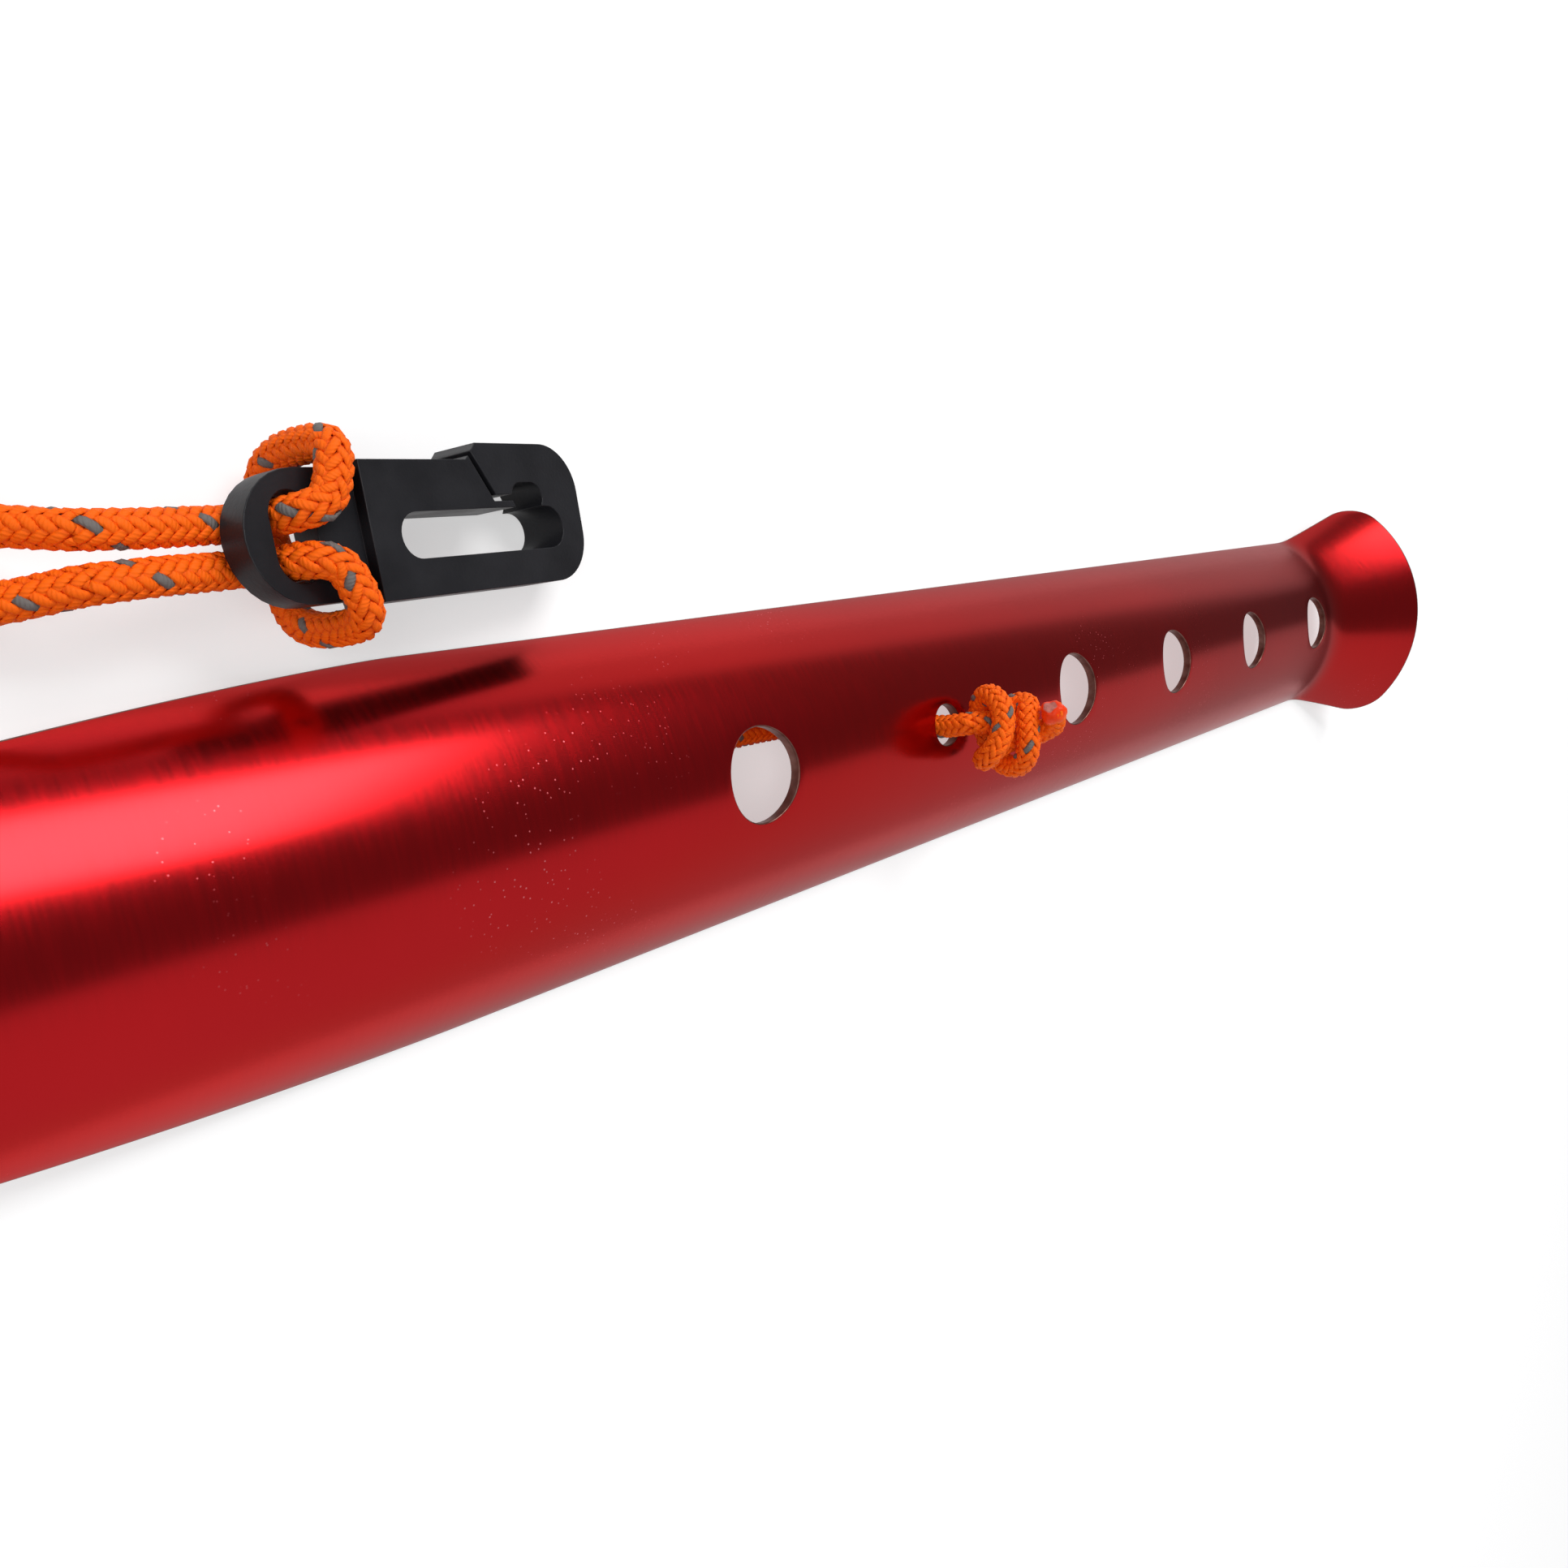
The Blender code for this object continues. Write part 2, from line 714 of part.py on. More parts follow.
def guy_cord_route(knot, through):
    """From the stopper knot down through the hole, under the peg, out under the tapered
    edge near the tip, round to the loop knot and along the loop's near strand."""
    approach = (knot[0] - knot[1]).normalized()
    route = [
        knot[0] + approach * CORD_GAP,
        knot[0] + approach * CORD_RADIUS,
        Vector((-0.3, -0.2, 9.6)) * MM,
        Vector((-0.4, 0.1, 6.8)) * MM,
        Vector((-1.6, 0.5, 3.9)) * MM,
        Vector((-5.0, 1.3, 1.9)) * MM,
        Vector((-11, 2.3, 1.45)) * MM,
        Vector((-24, 3.3, 1.45)) * MM,
        Vector((-40, 3.0, 1.45)) * MM,
        Vector((-58, 1.6, 1.45)) * MM,
        Vector((-76, 0.8, 1.45)) * MM,
        Vector((-94, 1.2, 1.45)) * MM,
        Vector((-110, 3.4, 1.45)) * MM,
        Vector((-124, 7.6, 1.45)) * MM,
        Vector((-135, 13.2, 1.45)) * MM,
        Vector((-140.5, 19.6, 1.8)) * MM,
        Vector((-137, 24.6, 3.6)) * MM,
    ]
    route += [through[0].lerp(through[-1], share) for share in (0, 0.08, 0.36, 0.64, 0.92, 1)]
    route += [
        Vector((-108, 23.6, 2.4)) * MM,
        Vector((-101, 21.9, 1.5)) * MM,
        Vector((-94, 21.8, 3.0)) * MM,
    ]
    route += strand_ends(-1)
    for point in route:
        point.z = max(point.z, CORD_LEVEL)
    return route


def loop_strand_route(knot):
    """The loop's far strand, from the hitch back to the loop knot."""
    away = (knot[0] - knot[1]).normalized()
    return [
        *reversed(strand_ends(1)),
        Vector((-92.5, 27.3, 3.5)) * MM,
        Vector((-99, 29.6, 1.6)) * MM,
        Vector((-106, 31.0, 1.65)) * MM,
        knot[0] + away * CORD,
        knot[0] + away * CORD_GAP,
    ]


def make_cord_and_knots(material):
    stopper = stopper_knot()
    through, loop = loop_knot()
    make_cord("stopper_knot", stopper, material)
    make_cord("guy_cord", free_stretch(guy_cord_route(stopper, through)), material)
    make_cord("loop_knot", loop, material)
    make_cord("loop_strand", free_stretch(loop_strand_route(loop)), material)


def main():
    clear_scene()
    red_metal = make_material("red_anodised_aluminium", (0.42, 0.006, 0.01), 0.3, 0.9)
    orange_cord = make_material("orange_cord", (0.9, 0.14, 0.01), 0.8, 0.0)
    black_plastic = make_material("black_plastic", (0.02, 0.02, 0.023), 0.45, 0.0)
    make_peg_body(red_metal)
    make_cord_and_knots(orange_cord)
    pivot = bpy.data.objects.new("hook_pivot", None)
    bpy.context.collection.objects.link(pivot)
    pivot.matrix_basis = hook_frame()
    make_cord_hook(black_plastic, pivot)
    make_hitch(orange_cord, pivot)


main()
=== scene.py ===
"""Looks of the snow peg: anodised sheet, braided cord with its knots, and the moulded cord hook.

Metres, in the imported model's frame. The peg lies on its two long edges at z = 0, its flared head to +X.
"""

import math

import bmesh
import bpy
import numpy as np
from mathutils import Matrix, Vector


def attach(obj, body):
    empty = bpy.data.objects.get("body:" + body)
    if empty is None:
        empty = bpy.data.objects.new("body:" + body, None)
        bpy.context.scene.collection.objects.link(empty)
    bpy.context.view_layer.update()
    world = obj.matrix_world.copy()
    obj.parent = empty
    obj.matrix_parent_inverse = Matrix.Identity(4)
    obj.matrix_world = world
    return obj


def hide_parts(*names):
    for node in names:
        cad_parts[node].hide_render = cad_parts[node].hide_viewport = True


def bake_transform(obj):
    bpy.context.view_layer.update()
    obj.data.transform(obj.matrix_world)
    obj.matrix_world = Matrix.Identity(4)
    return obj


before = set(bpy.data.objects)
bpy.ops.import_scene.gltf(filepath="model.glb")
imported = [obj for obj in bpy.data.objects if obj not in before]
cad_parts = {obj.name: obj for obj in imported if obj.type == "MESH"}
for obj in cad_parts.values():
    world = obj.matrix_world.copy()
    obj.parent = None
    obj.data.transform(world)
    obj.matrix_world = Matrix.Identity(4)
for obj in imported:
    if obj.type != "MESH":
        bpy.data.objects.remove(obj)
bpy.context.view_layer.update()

MM = 0.001

# Peg sheet, as in the CAD part
SHEET_WALL = 1.2 * MM
BODY_WIDTH = 32 * MM
BODY_RADIUS = 18.3 * MM
TIP_X = -155 * MM
RIM_X = 155 * MM
TAPER_X = -63.5 * MM
TIP_TAPER_POWER = 1.32
TIP_POINT_RADIUS = 5 * MM
# The tapered edges would meet this many tip radii past the tip
TAPER_OVERRUN = 2.4
FLARE_X = 134 * MM
FLARE_POWER = 1.15
FLARE_BEND = 3 * MM
RIM_RADIUS = 26.6 * MM
RIM_HALF_ARC = 26.5 * MM
RIM_RISE = 1.4 * MM
RIM_CORNER = 6 * MM
HOLE_PITCH = 31 * MM
BIG_HOLE = 9.5 * MM
CORD_HOLE = 4.8 * MM
HOLE_NUMBERS = range(-1, 5)

# Fineness of the sheet's mesh, how its columns divide the round tip, and its rounded edges
CELL = 1 * MM
HOLE_CELLS = 8
HOLE_RINGS = 4
END_COLUMNS = 10
TIP_ARC = math.radians(84)
TIP_FIRST_SHARE = 0.3
EDGE_ROUND = 0.35 * MM
RIM_STEPS = 5
OUTER_HOLE_ROUND = 0.2 * MM
INNER_HOLE_ROUND = 0.15 * MM
SHEET_SHARP_ANGLE = math.radians(50)

# Cord, as in the CAD part; steps and bends count in cord widths, a knot's turns in knot pitches
CORD = 2.8 * MM
CORD_RADIUS = CORD / 2
CORD_GAP = 0.3 * MM
FLOOR_GAP = 0.05 * MM
KNOT_GAP = 0.15 * MM
KNOT_PITCH = CORD + KNOT_GAP
KNOT_STEP = 0.45
CORD_STEP = 1.6
ROUTE_PARTS = 12
WRAP_TURNS = 1.5
WRAP_STEPS = 8
WRAP_START = 0.8
WRAP_ADVANCE = 1.0
WRAP_HALF_WIDTH = 1.5
WRAP_HALF_HEIGHT = 1.1
CORE_ASIDE = 0.45
CORE_REACH = 2.4
SETTLE_SWEEPS = 400
PULLED_SHARE = 0.8
SETTLE_PULL = 0.12
SETTLE_PUSH = 0.6
SAME_TURN = 2.4
BEND_RUN = 1.35
BEND_WIDTH = 1.06
STOPPER_AHEAD = 3.8 * MM
STOPPER_ASIDE = -1.3 * MM
STOPPER_LIFT = 4.9 * MM
STOPPER_PITCH_UP = math.radians(20)
STOPPER_YAW = math.radians(-12)
LOOP_KNOT_PLACE = (-123 * MM, 28.5 * MM)
LOOP_KNOT_LIFT = 1.5
LOOP_KNOT_YAW = math.radians(-3)

# Cord hook, as in the CAD part
HOOK_LENGTH = 34 * MM
HOOK_WIDTH = 10.2 * MM
HOOK_THICK = 4.6 * MM
HEAD_STEP = 1.3 * MM
HEAD_START = 22.6 * MM
HOOK_END_RADIUS = 4 * MM
TAB_WIDTH = 9.4 * MM
TAB_THICK = 2.6 * MM
TAB_LENGTH = 9.6 * MM
TAB_HOLE_LENGTH = 6.4 * MM
TAB_HOLE_WIDTH = 3.6 * MM
TAB_HOLE_WALL = 2.2 * MM
SLOT_START = 13.4 * MM
SLOT_END_WALL = 2.6 * MM
SLOT_WIDTH = 3.5 * MM
SLOT_OFFSET = -0.5 * MM
EYE_LENGTH = 3.6 * MM
EYE_WIDTH = 2.4 * MM
EYE_AHEAD = 5 * MM
EYE_OVERLAP = 0.4 * MM
SLIT_WIDTH = 0.5 * MM
SLIT_KNEE = 1.6 * MM
HOOK_PIVOT = (-79 * MM, 24.6 * MM)
HOOK_YAW = math.radians(2)
PIVOT_TO_TAB = 1 * MM
HITCH_SPREAD = 3.6 * MM
HITCH_BEND = 2.2 * MM
STRAND_LEAD = 3 * MM
SWING_RADIUS = 3.05 * MM
ARC_STEPS = 16
HOOK_EDGE_ROUND = 0.35 * MM
HOOK_EDGE_STEPS = 3
HOOK_EDGE_ANGLE = math.radians(50)
HOOK_SHARP_ANGLE = math.radians(45)

# Braid of the cord: this many carriers wind each way, and one of them all is grey; sealed ends
CARRIERS = 8
BRAID_PITCH = 7.4 * MM
YARN_WIDTH = 0.7 * MM
YARN_THICK = 0.34 * MM
YARN_WAVE = 0.16 * MM
YARN_SIDES = 6
BRAID_STEP = 0.36 * MM
FINE_STEP = 0.15 * MM
SMOOTH_RUN = 0.45 * MM
CORE_SIDES = 12
END_SIDES = 28
END_SHARP_ANGLE = math.radians(60)
PATH_EVERY = 4
STRAND_BEND_START = 7 * MM

# Camera, fitted to the photograph; its lens and sensor are in millimetres
CAMERA_PLACE = (-112.72 * MM, 16.34 * MM, 89.13 * MM)
CAMERA_RIGHT = (0.66970, -0.12219, 0.73251)
CAMERA_UP = (0.19377, 0.98095, -0.01352)
CAMERA_LENS = 27.13
CAMERA_SENSOR = 36
CAMERA_NEAR = 5 * MM

# Floor, whose white is partly reflected and partly its own light
FLOOR_REACH = 3.0
FLOOR_REFLECTS = 0.58
FLOOR_OWN_LIGHT = 0.5

BODY_HALF_ANGLE = math.asin(BODY_WIDTH / 2 / BODY_RADIUS)
BODY_HALF_ARC = BODY_RADIUS * BODY_HALF_ANGLE
BODY_CENTRE = -BODY_RADIUS * math.cos(BODY_HALF_ANGLE)
CROWN = BODY_RADIUS + BODY_CENTRE
CORD_LEVEL = CORD_RADIUS + FLOOR_GAP


# Helpers


def add_object(name, data, *materials):
    thing = bpy.data.objects.new(name, data)
    bpy.context.collection.objects.link(thing)
    for material in materials:
        data.materials.append(material)
    return thing


def add_mesh(name, points, faces, *materials):
    mesh = bpy.data.meshes.new(name)
    mesh.from_pydata([tuple(point) for point in points], [], faces)
    mesh.update()
    return add_object(name, mesh, *materials)


def face_outwards(mesh):
    """Turns all faces of a closed mesh to its outside."""
    tool = bmesh.new()
    tool.from_mesh(mesh)
    bmesh.ops.recalc_face_normals(tool, faces=tool.faces)
    tool.to_mesh(mesh)
    tool.free()


def quarter_turns(steps):
    """Angles from 0 to 90 degrees, in even steps."""
    return [math.radians(90) * step / steps for step in range(steps + 1)]


def set_socket(tree, socket, value):
    """Sets a socket to a value, or links another socket to it."""
    if isinstance(value, bpy.types.NodeSocket):
        tree.links.new(value, socket)
    else:
        socket.default_value = value


def feed(tree, made, **sockets):
    """Sets or links a node's sockets by name."""
    for name, value in sockets.items():
        set_socket(tree, made.inputs[name.replace("_", " ")], value)


def node(tree, kind, place, **sockets):
    made = tree.nodes.new(kind)
    made.location = place
    feed(tree, made, **sockets)
    return made


def new_material(name):
    material = bpy.data.materials.new(name)
    material.use_nodes = True
    tree = material.node_tree
    return material, tree, tree.nodes["Principled BSDF"]


def own_point(tree, place):
    """The shaded point in its piece's own metres."""
    return node(tree, "ShaderNodeTexCoord", place).outputs["Object"]


def own_lift(tree, place):
    """The value that store_lift keeps at each point."""
    made = node(tree, "ShaderNodeAttribute", place)
    made.attribute_name = "lift"
    return made.outputs["Fac"]


def combined(tree, place, operation, *values):
    """The result of a Math node."""
    made = node(tree, "ShaderNodeMath", place)
    made.operation = operation
    for socket, value in zip(made.inputs, values):
        set_socket(tree, socket, value)
    return made.outputs["Value"]


def ramp(tree, place, factor, *stops):
    """A colour ramp; each stop is a position and a colour."""
    made = node(tree, "ShaderNodeValToRGB", place, Fac=factor)
    elements = made.color_ramp.elements
    while len(elements) < len(stops):
        elements.new(0.5)
    for element, (position, colour) in zip(elements, stops):
        element.position = position
        element.color = (*colour, 1.0)
    return made.outputs["Color"]


def grey(level):
    return (level, level, level)


def noise(tree, place, vector, scale, detail):
    made = node(tree, "ShaderNodeTexNoise", place, Vector=vector, Scale=scale, Detail=detail)
    return made.outputs["Fac"]


def bump(tree, place, height, strength, distance):
    made = node(tree, "ShaderNodeBump", place, Height=height, Strength=strength, Distance=distance)
    return made.outputs["Normal"]


# Materials


def anodised_red():
    """Deep red dye under a clear oxide skin: satin, brushed round the section, with a few pale pink specks of
    dust that also serve as painted glints.
    """
    material, tree, shader = new_material("red_anodised_aluminium")
    point = own_point(tree, (-1500, 0))
    cloud = noise(tree, (-900, 200), point, 28.0, 3.0)
    dyed = ramp(tree, (-600, 200), cloud, (0.3, (0.45, 0.0016, 0.0045)), (0.7, (0.52, 0.0022, 0.0060)))
    across = node(tree, "ShaderNodeMapping", (-1200, -100), Vector=point, Scale=(3200.0, 260.0, 260.0))
    brushed = noise(tree, (-900, -100), across.outputs["Vector"], 1.0, 2.0)
    rough = ramp(tree, (-600, -100), brushed, (0.35, grey(0.21)), (0.65, grey(0.25)))
    lines = bump(tree, (-600, -350), brushed, 0.05, 0.00003)
    # Pale pink specks in patches: dust that also stands for painted glints, mixed into the base colour and
    # made a little rougher
    dots = node(tree, "ShaderNodeTexVoronoi", (-900, -600), Vector=point, Scale=1500.0)
    speck = ramp(tree, (-600, -600), dots.outputs["Distance"], (0.07, grey(1.0)), (0.15, grey(0.0)))
    patch = noise(tree, (-900, -850), point, 45.0, 2.0)
    where = ramp(tree, (-600, -850), patch, (0.57, grey(0.0)), (0.68, grey(1.0)))
    dust_and_glints = combined(tree, (-300, -700), "MULTIPLY", speck, where)
    pale = node(tree, "ShaderNodeMixRGB", (-300, 200), Fac=dust_and_glints, Color1=dyed, Color2=(0.75, 0.18, 0.2, 1.0))
    rougher = combined(tree, (-300, -100), "MULTIPLY_ADD", dust_and_glints, 0.3, rough)
    feed(tree, shader, Base_Color=pale.outputs["Color"], Roughness=rougher, Normal=lines, Metallic=1.0,
         Specular_Tint=(0.36, 0.02, 0.035, 1.0), Coat_Weight=0.42, Coat_Roughness=0.22, Coat_IOR=1.4)
    return material


def rim_metal():
    """The punched and rounded edges, where the dye is thin and the grey metal shows through."""
    material, tree, shader = new_material("thin_dyed_edge")
    cloud = noise(tree, (-900, 200), own_point(tree, (-1200, 0)), 700.0, 3.0)
    colour = ramp(tree, (-600, 200), cloud, (0.3, (0.12, 0.035, 0.025)), (0.7, (0.22, 0.11, 0.09)))
    normal = bump(tree, (-300, -400), cloud, 0.2, 0.00005)
    feed(tree, shader, Base_Color=colour, Normal=normal, Metallic=0.85, Roughness=0.38)
    return material


def yarn(name, dark, light):
    """Twisted filaments: fine slanting lines along each yarn, with painted shade where it dips under and a
    painted highlight, paler, where it stands proud.
    """
    material, tree, shader = new_material(name)
    along = node(tree, "ShaderNodeUVMap", (-1500, 0)).outputs["UV"]
    lines = node(tree, "ShaderNodeTexWave", (-1200, -200), Vector=along, Scale=2.2, Distortion=1.5,
                 Detail=2.0, Detail_Scale=2.0)
    lines.bands_direction = "DIAGONAL"
    cloud = noise(tree, (-1200, 500), own_point(tree, (-1500, 500)), 900.0, 3.0)
    # Painted shade and highlight: low lift (a yarn dipping under its neighbours, and the core) takes the dark
    # colour, high lift the pale one
    height = combined(tree, (-900, 400), "MULTIPLY_ADD", cloud, 0.35, own_lift(tree, (-1200, 300)))
    colour = ramp(tree, (-600, 300), height, (0.15, dark), (0.95, light))
    normal = bump(tree, (-600, -200), lines.outputs["Fac"], 0.5, 0.00006)
    feed(tree, shader, Base_Color=colour, Normal=normal, Roughness=0.65, Specular_IOR_Level=0.2)
    return material


def melted_nylon():
    """The cord's sealed end: lumpy satin red-orange, with a small pinkish-grey face."""
    material, tree, shader = new_material("melted_cord_end")
    cloud = noise(tree, (-1200, 0), own_point(tree, (-1500, 0)), 1500.0, 3.0)
    colour = ramp(
        tree, (-600, 300), own_lift(tree, (-1200, 300)),
        (0.0, (0.95, 0.11, 0.001)), (0.35, (0.9, 0.05, 0.001)), (0.75, (0.85, 0.04, 0.002)),
        (0.9, (0.5, 0.16, 0.13)),
    )
    normal = bump(tree, (-600, -200), cloud, 0.6, 0.0002)
    feed(tree, shader, Base_Color=colour, Normal=normal, Roughness=0.42, Specular_IOR_Level=0.2)
    return material


def black_plastic():
    """Moulded nylon: a fine satin grain, a little shinier in soft patches."""
    material, tree, shader = new_material("black_moulded_plastic")
    point = own_point(tree, (-1200, 0))
    cloud = noise(tree, (-900, 200), point, 220.0, 3.0)
    colour = ramp(tree, (-600, 200), cloud, (0.3, (0.008, 0.008, 0.010)), (0.7, (0.013, 0.013, 0.016)))
    rough = ramp(tree, (-600, 0), cloud, (0.3, grey(0.38)), (0.7, grey(0.5)))
    grain = noise(tree, (-900, -200), point, 3500.0, 2.0)
    normal = bump(tree, (-300, -200), grain, 0.25, 0.00006)
    feed(tree, shader, Base_Color=colour, Roughness=rough, Normal=normal, Specular_IOR_Level=0.25)
    return material


def floor_material():
    """White paper, which keeps a soft shadow; part of its white is its own."""
    material, tree, shader = new_material("pale_floor")
    rays = node(tree, "ShaderNodeLightPath", (-900, -300))
    seen = rays.outputs["Is Camera Ray"]
    for number, name in enumerate(("Is Glossy Ray", "Is Transmission Ray")):
        seen = combined(tree, (-600 + 200 * number, -300), "MAXIMUM", seen, rays.outputs[name])
    own = combined(tree, (-200, -300), "MULTIPLY", seen, FLOOR_OWN_LIGHT)
    feed(tree, shader, Base_Color=(*grey(FLOOR_REFLECTS), 1.0), Roughness=0.9, Specular_IOR_Level=0.1,
         Emission_Strength=own, Emission_Color=(1.0, 1.0, 1.0, 1.0))
    return material


# Peg sheet: a flat blank, formed to the channel's curve; s is the distance round the section


def flare_share(x):
    """0 along the body, rising to 1 at the rim, with a soft bend where it starts."""
    run = x - FLARE_X
    if run < -FLARE_BEND:
        return 0.0
    if run < FLARE_BEND:
        run = (run + FLARE_BEND) ** 2 / FLARE_BEND / 4
    return (run / (RIM_X - FLARE_X)) ** FLARE_POWER


def section_radius(x):
    return BODY_RADIUS + (RIM_RADIUS - BODY_RADIUS) * flare_share(x)


def section_centre(x):
    return BODY_CENTRE + RIM_RISE * flare_share(x)


def face_half_width(x):
    """Half the width of the blank's flat face at x, inside its rounded edge."""
    if x < FLARE_X - FLARE_BEND:
        taper = BODY_HALF_ARC
        if x < TAPER_X:
            run = (TAPER_X - x) / (TAPER_X - TIP_X + TAPER_OVERRUN * TIP_POINT_RADIUS)
            taper = BODY_HALF_ARC * (1 - run ** TIP_TAPER_POWER)
        depth = x - TIP_X
        if depth < TIP_POINT_RADIUS:
            round_off = (TIP_POINT_RADIUS - EDGE_ROUND) ** 2 - (TIP_POINT_RADIUS - depth) ** 2
            return min(taper - EDGE_ROUND, math.sqrt(max(0.0, round_off)))
        return taper - EDGE_ROUND
    full = BODY_HALF_ARC + (RIM_HALF_ARC - BODY_HALF_ARC) * flare_share(x)
    depth = RIM_X - x
    if depth >= RIM_CORNER:
        return full - EDGE_ROUND
    corner = (RIM_CORNER - EDGE_ROUND) ** 2 - (RIM_CORNER - depth) ** 2
    return full - RIM_CORNER + math.sqrt(max(0.0, corner))


def outer_point(x, s):
    """A point of the blank's outer face, once the sheet is formed."""
    radius = section_radius(x)
    angle = s / radius
    return Vector((x, radius * math.sin(angle), section_centre(x) + radius * math.cos(angle)))


def formed(x, s, depth):
    """A point of the blank, at a depth under its outer face, once the sheet is formed."""
    small = 0.02 * MM
    x = min(x, RIM_X)
    along = outer_point(min(x + small, RIM_X), s) - outer_point(x - small, s)
    across = outer_point(x, s + small) - outer_point(x, s - small)
    normal = along.cross(across).normalized()
    if normal.z < 0:
        normal = -normal
    point = outer_point(x, s) - normal * depth
    point.z = max(point.z, 0.0)
    return point


def blank_columns():
    """The x positions of the blank's grid: even cells, finer towards the tip and the rim."""
    columns = []
    for step in range(END_COLUMNS):
        turn = TIP_ARC * (step + TIP_FIRST_SHARE) / END_COLUMNS
        columns.append(TIP_X + EDGE_ROUND + (TIP_POINT_RADIUS - EDGE_ROUND) * (1 - math.cos(turn)))
    first_cell = math.ceil(columns[-1] / CELL)
    last_cell = round((RIM_X - RIM_CORNER) / CELL)
    columns += [cell * CELL for cell in range(first_cell, last_cell + 1)]
    for turn in quarter_turns(END_COLUMNS)[1:]:
        columns.append(RIM_X - RIM_CORNER + (RIM_CORNER - EDGE_ROUND) * math.sin(turn))
    return columns


def blank_rows():
    """Shares of the half width, with even cells over the holes."""
    edge = face_half_width(0.0)
    shares = [cell * CELL / edge for cell in range(-HOLE_CELLS, HOLE_CELLS + 1)]
    outside = edge - HOLE_CELLS * CELL
    count = round(outside / CELL)
    for step in range(1, count + 1):
        share = (HOLE_CELLS * CELL + outside * step / count) / edge
        shares = [-share] + shares + [share]
    return shares


def over_hole(x):
    """Whether x lies inside the square patch of the grid that a hole takes."""
    reach = HOLE_CELLS * CELL - CELL / 10
    return any(abs(x - number * HOLE_PITCH) < reach for number in HOLE_NUMBERS)


def patch_edge():
    """Grid steps round a hole patch's square edge, from its corner."""
    n = HOLE_CELLS
    steps = [(step, -n) for step in range(-n, n)]
    steps += [(n, step) for step in range(-n, n)]
    steps += [(-step, n) for step in range(-n, n)]
    steps += [(-n, -step) for step in range(-n, n)]
    return steps


def circle_point(middle, radius, step, depth):
    """Blank place of a point of an upright hole, round in plan, in the direction of a grid step."""
    length = math.hypot(*step)
    y = radius * step[1] / length
    return middle + radius * step[0] / length, BODY_RADIUS * math.asin(y / (BODY_RADIUS - depth))


class SheetBuilder:
    """Collects the sheet's points and faces."""

    def __init__(self):
        self.points = []
        self.faces = []
        self.edge_faces = []

    def add(self, x, s, depth):
        self.points.append(formed(x, s, depth))
        return len(self.points) - 1

    def add_face(self, corners, on_edge):
        self.faces.append(tuple(corners))
        self.edge_faces.append(on_edge)

    def strip(self, ring_a, ring_b, on_edge):
        """Faces between two closed rings of points."""
        for index, corner in enumerate(ring_a):
            after = (index + 1) % len(ring_a)
            self.add_face((corner, ring_a[after], ring_b[after], ring_b[index]), on_edge)


def fill_patch(builder, ring, middle, radius, depth):
    """Rings from a hole patch's square edge in to the hole; returns the last."""
    for number in range(1, HOLE_RINGS + 1):
        share = number / HOLE_RINGS
        made = []
        for step in patch_edge():
            hole_x, hole_s = circle_point(middle, radius, step, depth)
            edge_x = middle + step[0] * CELL
            edge_s = step[1] * CELL
            x = edge_x + (hole_x - edge_x) * share
            made.append(builder.add(x, edge_s + (hole_s - edge_s) * share, depth))
        builder.strip(ring, made, False)
        ring = made
    return ring


def sheet_skin(builder, depth, hole_round):
    """One face of the sheet; returns its outline ring, that ring's blank places, and its holes."""
    columns = blank_columns()
    shares = blank_rows()
    middle_row = len(shares) // 2
    grid = {}
    for i, x in enumerate(columns):
        for j, share in enumerate(shares):
            if not over_hole(x) or abs(j - middle_row) >= HOLE_CELLS:
                grid[i, j] = builder.add(x, share * face_half_width(x), depth)
    for i, (x, next_x) in enumerate(zip(columns, columns[1:])):
        for j in range(len(shares) - 1):
            if not over_hole((x + next_x) / 2) or abs(j + 0.5 - middle_row) >= HOLE_CELLS:
                corners = [(i, j), (i + 1, j), (i + 1, j + 1), (i, j + 1)]
                builder.add_face([grid[corner] for corner in corners], False)
    holes = []
    for number in HOLE_NUMBERS:
        middle = number * HOLE_PITCH
        column = min(range(len(columns)), key=lambda i: abs(columns[i] - middle))
        radius = (CORD_HOLE if number == 0 else BIG_HOLE) / 2
        ring = [grid[column + a, middle_row + b] for a, b in patch_edge()]
        holes.append((middle, radius, fill_patch(builder, ring, middle, radius + hole_round, depth)))
    last_i = len(columns) - 1
    last_j = len(shares) - 1
    outline = [(i, 0) for i in range(last_i)]
    outline += [(last_i, j) for j in range(last_j)]
    outline += [(i, last_j) for i in range(last_i, 0, -1)]
    outline += [(0, j) for j in range(last_j, 0, -1)]
    places = [(columns[i], shares[j] * face_half_width(columns[i])) for i, j in outline]
    return [grid[corner] for corner in outline], places, holes


def edge_profile(outer_round, inner_round):
    """How far from the wall and how deep each ring of a rounded edge lies, from face to face."""
    turns = quarter_turns(RIM_STEPS)
    profile = [(outer_round * (1 - math.sin(turn)), outer_round * (1 - math.cos(turn))) for turn in turns[1:]]
    for turn in turns[:-1]:
        profile.append((inner_round * (1 - math.cos(turn)), SHEET_WALL - inner_round * (1 - math.sin(turn))))
    return profile


def sheet_edge(builder, ring, places, inner_ring):
    """The rounded edge all round the sheet."""
    for inset, depth in edge_profile(EDGE_ROUND, EDGE_ROUND):
        out = EDGE_ROUND - inset
        made = []
        for index, (x, s) in enumerate(places):
            before = places[index - 1]
            after = places[(index + 1) % len(places)]
            way = Vector((after[1] - before[1], before[0] - after[0])).normalized()
            made.append(builder.add(x + way.x * out, s + way.y * out, depth))
        builder.strip(ring, made, True)
        ring = made
    builder.strip(ring, inner_ring, True)


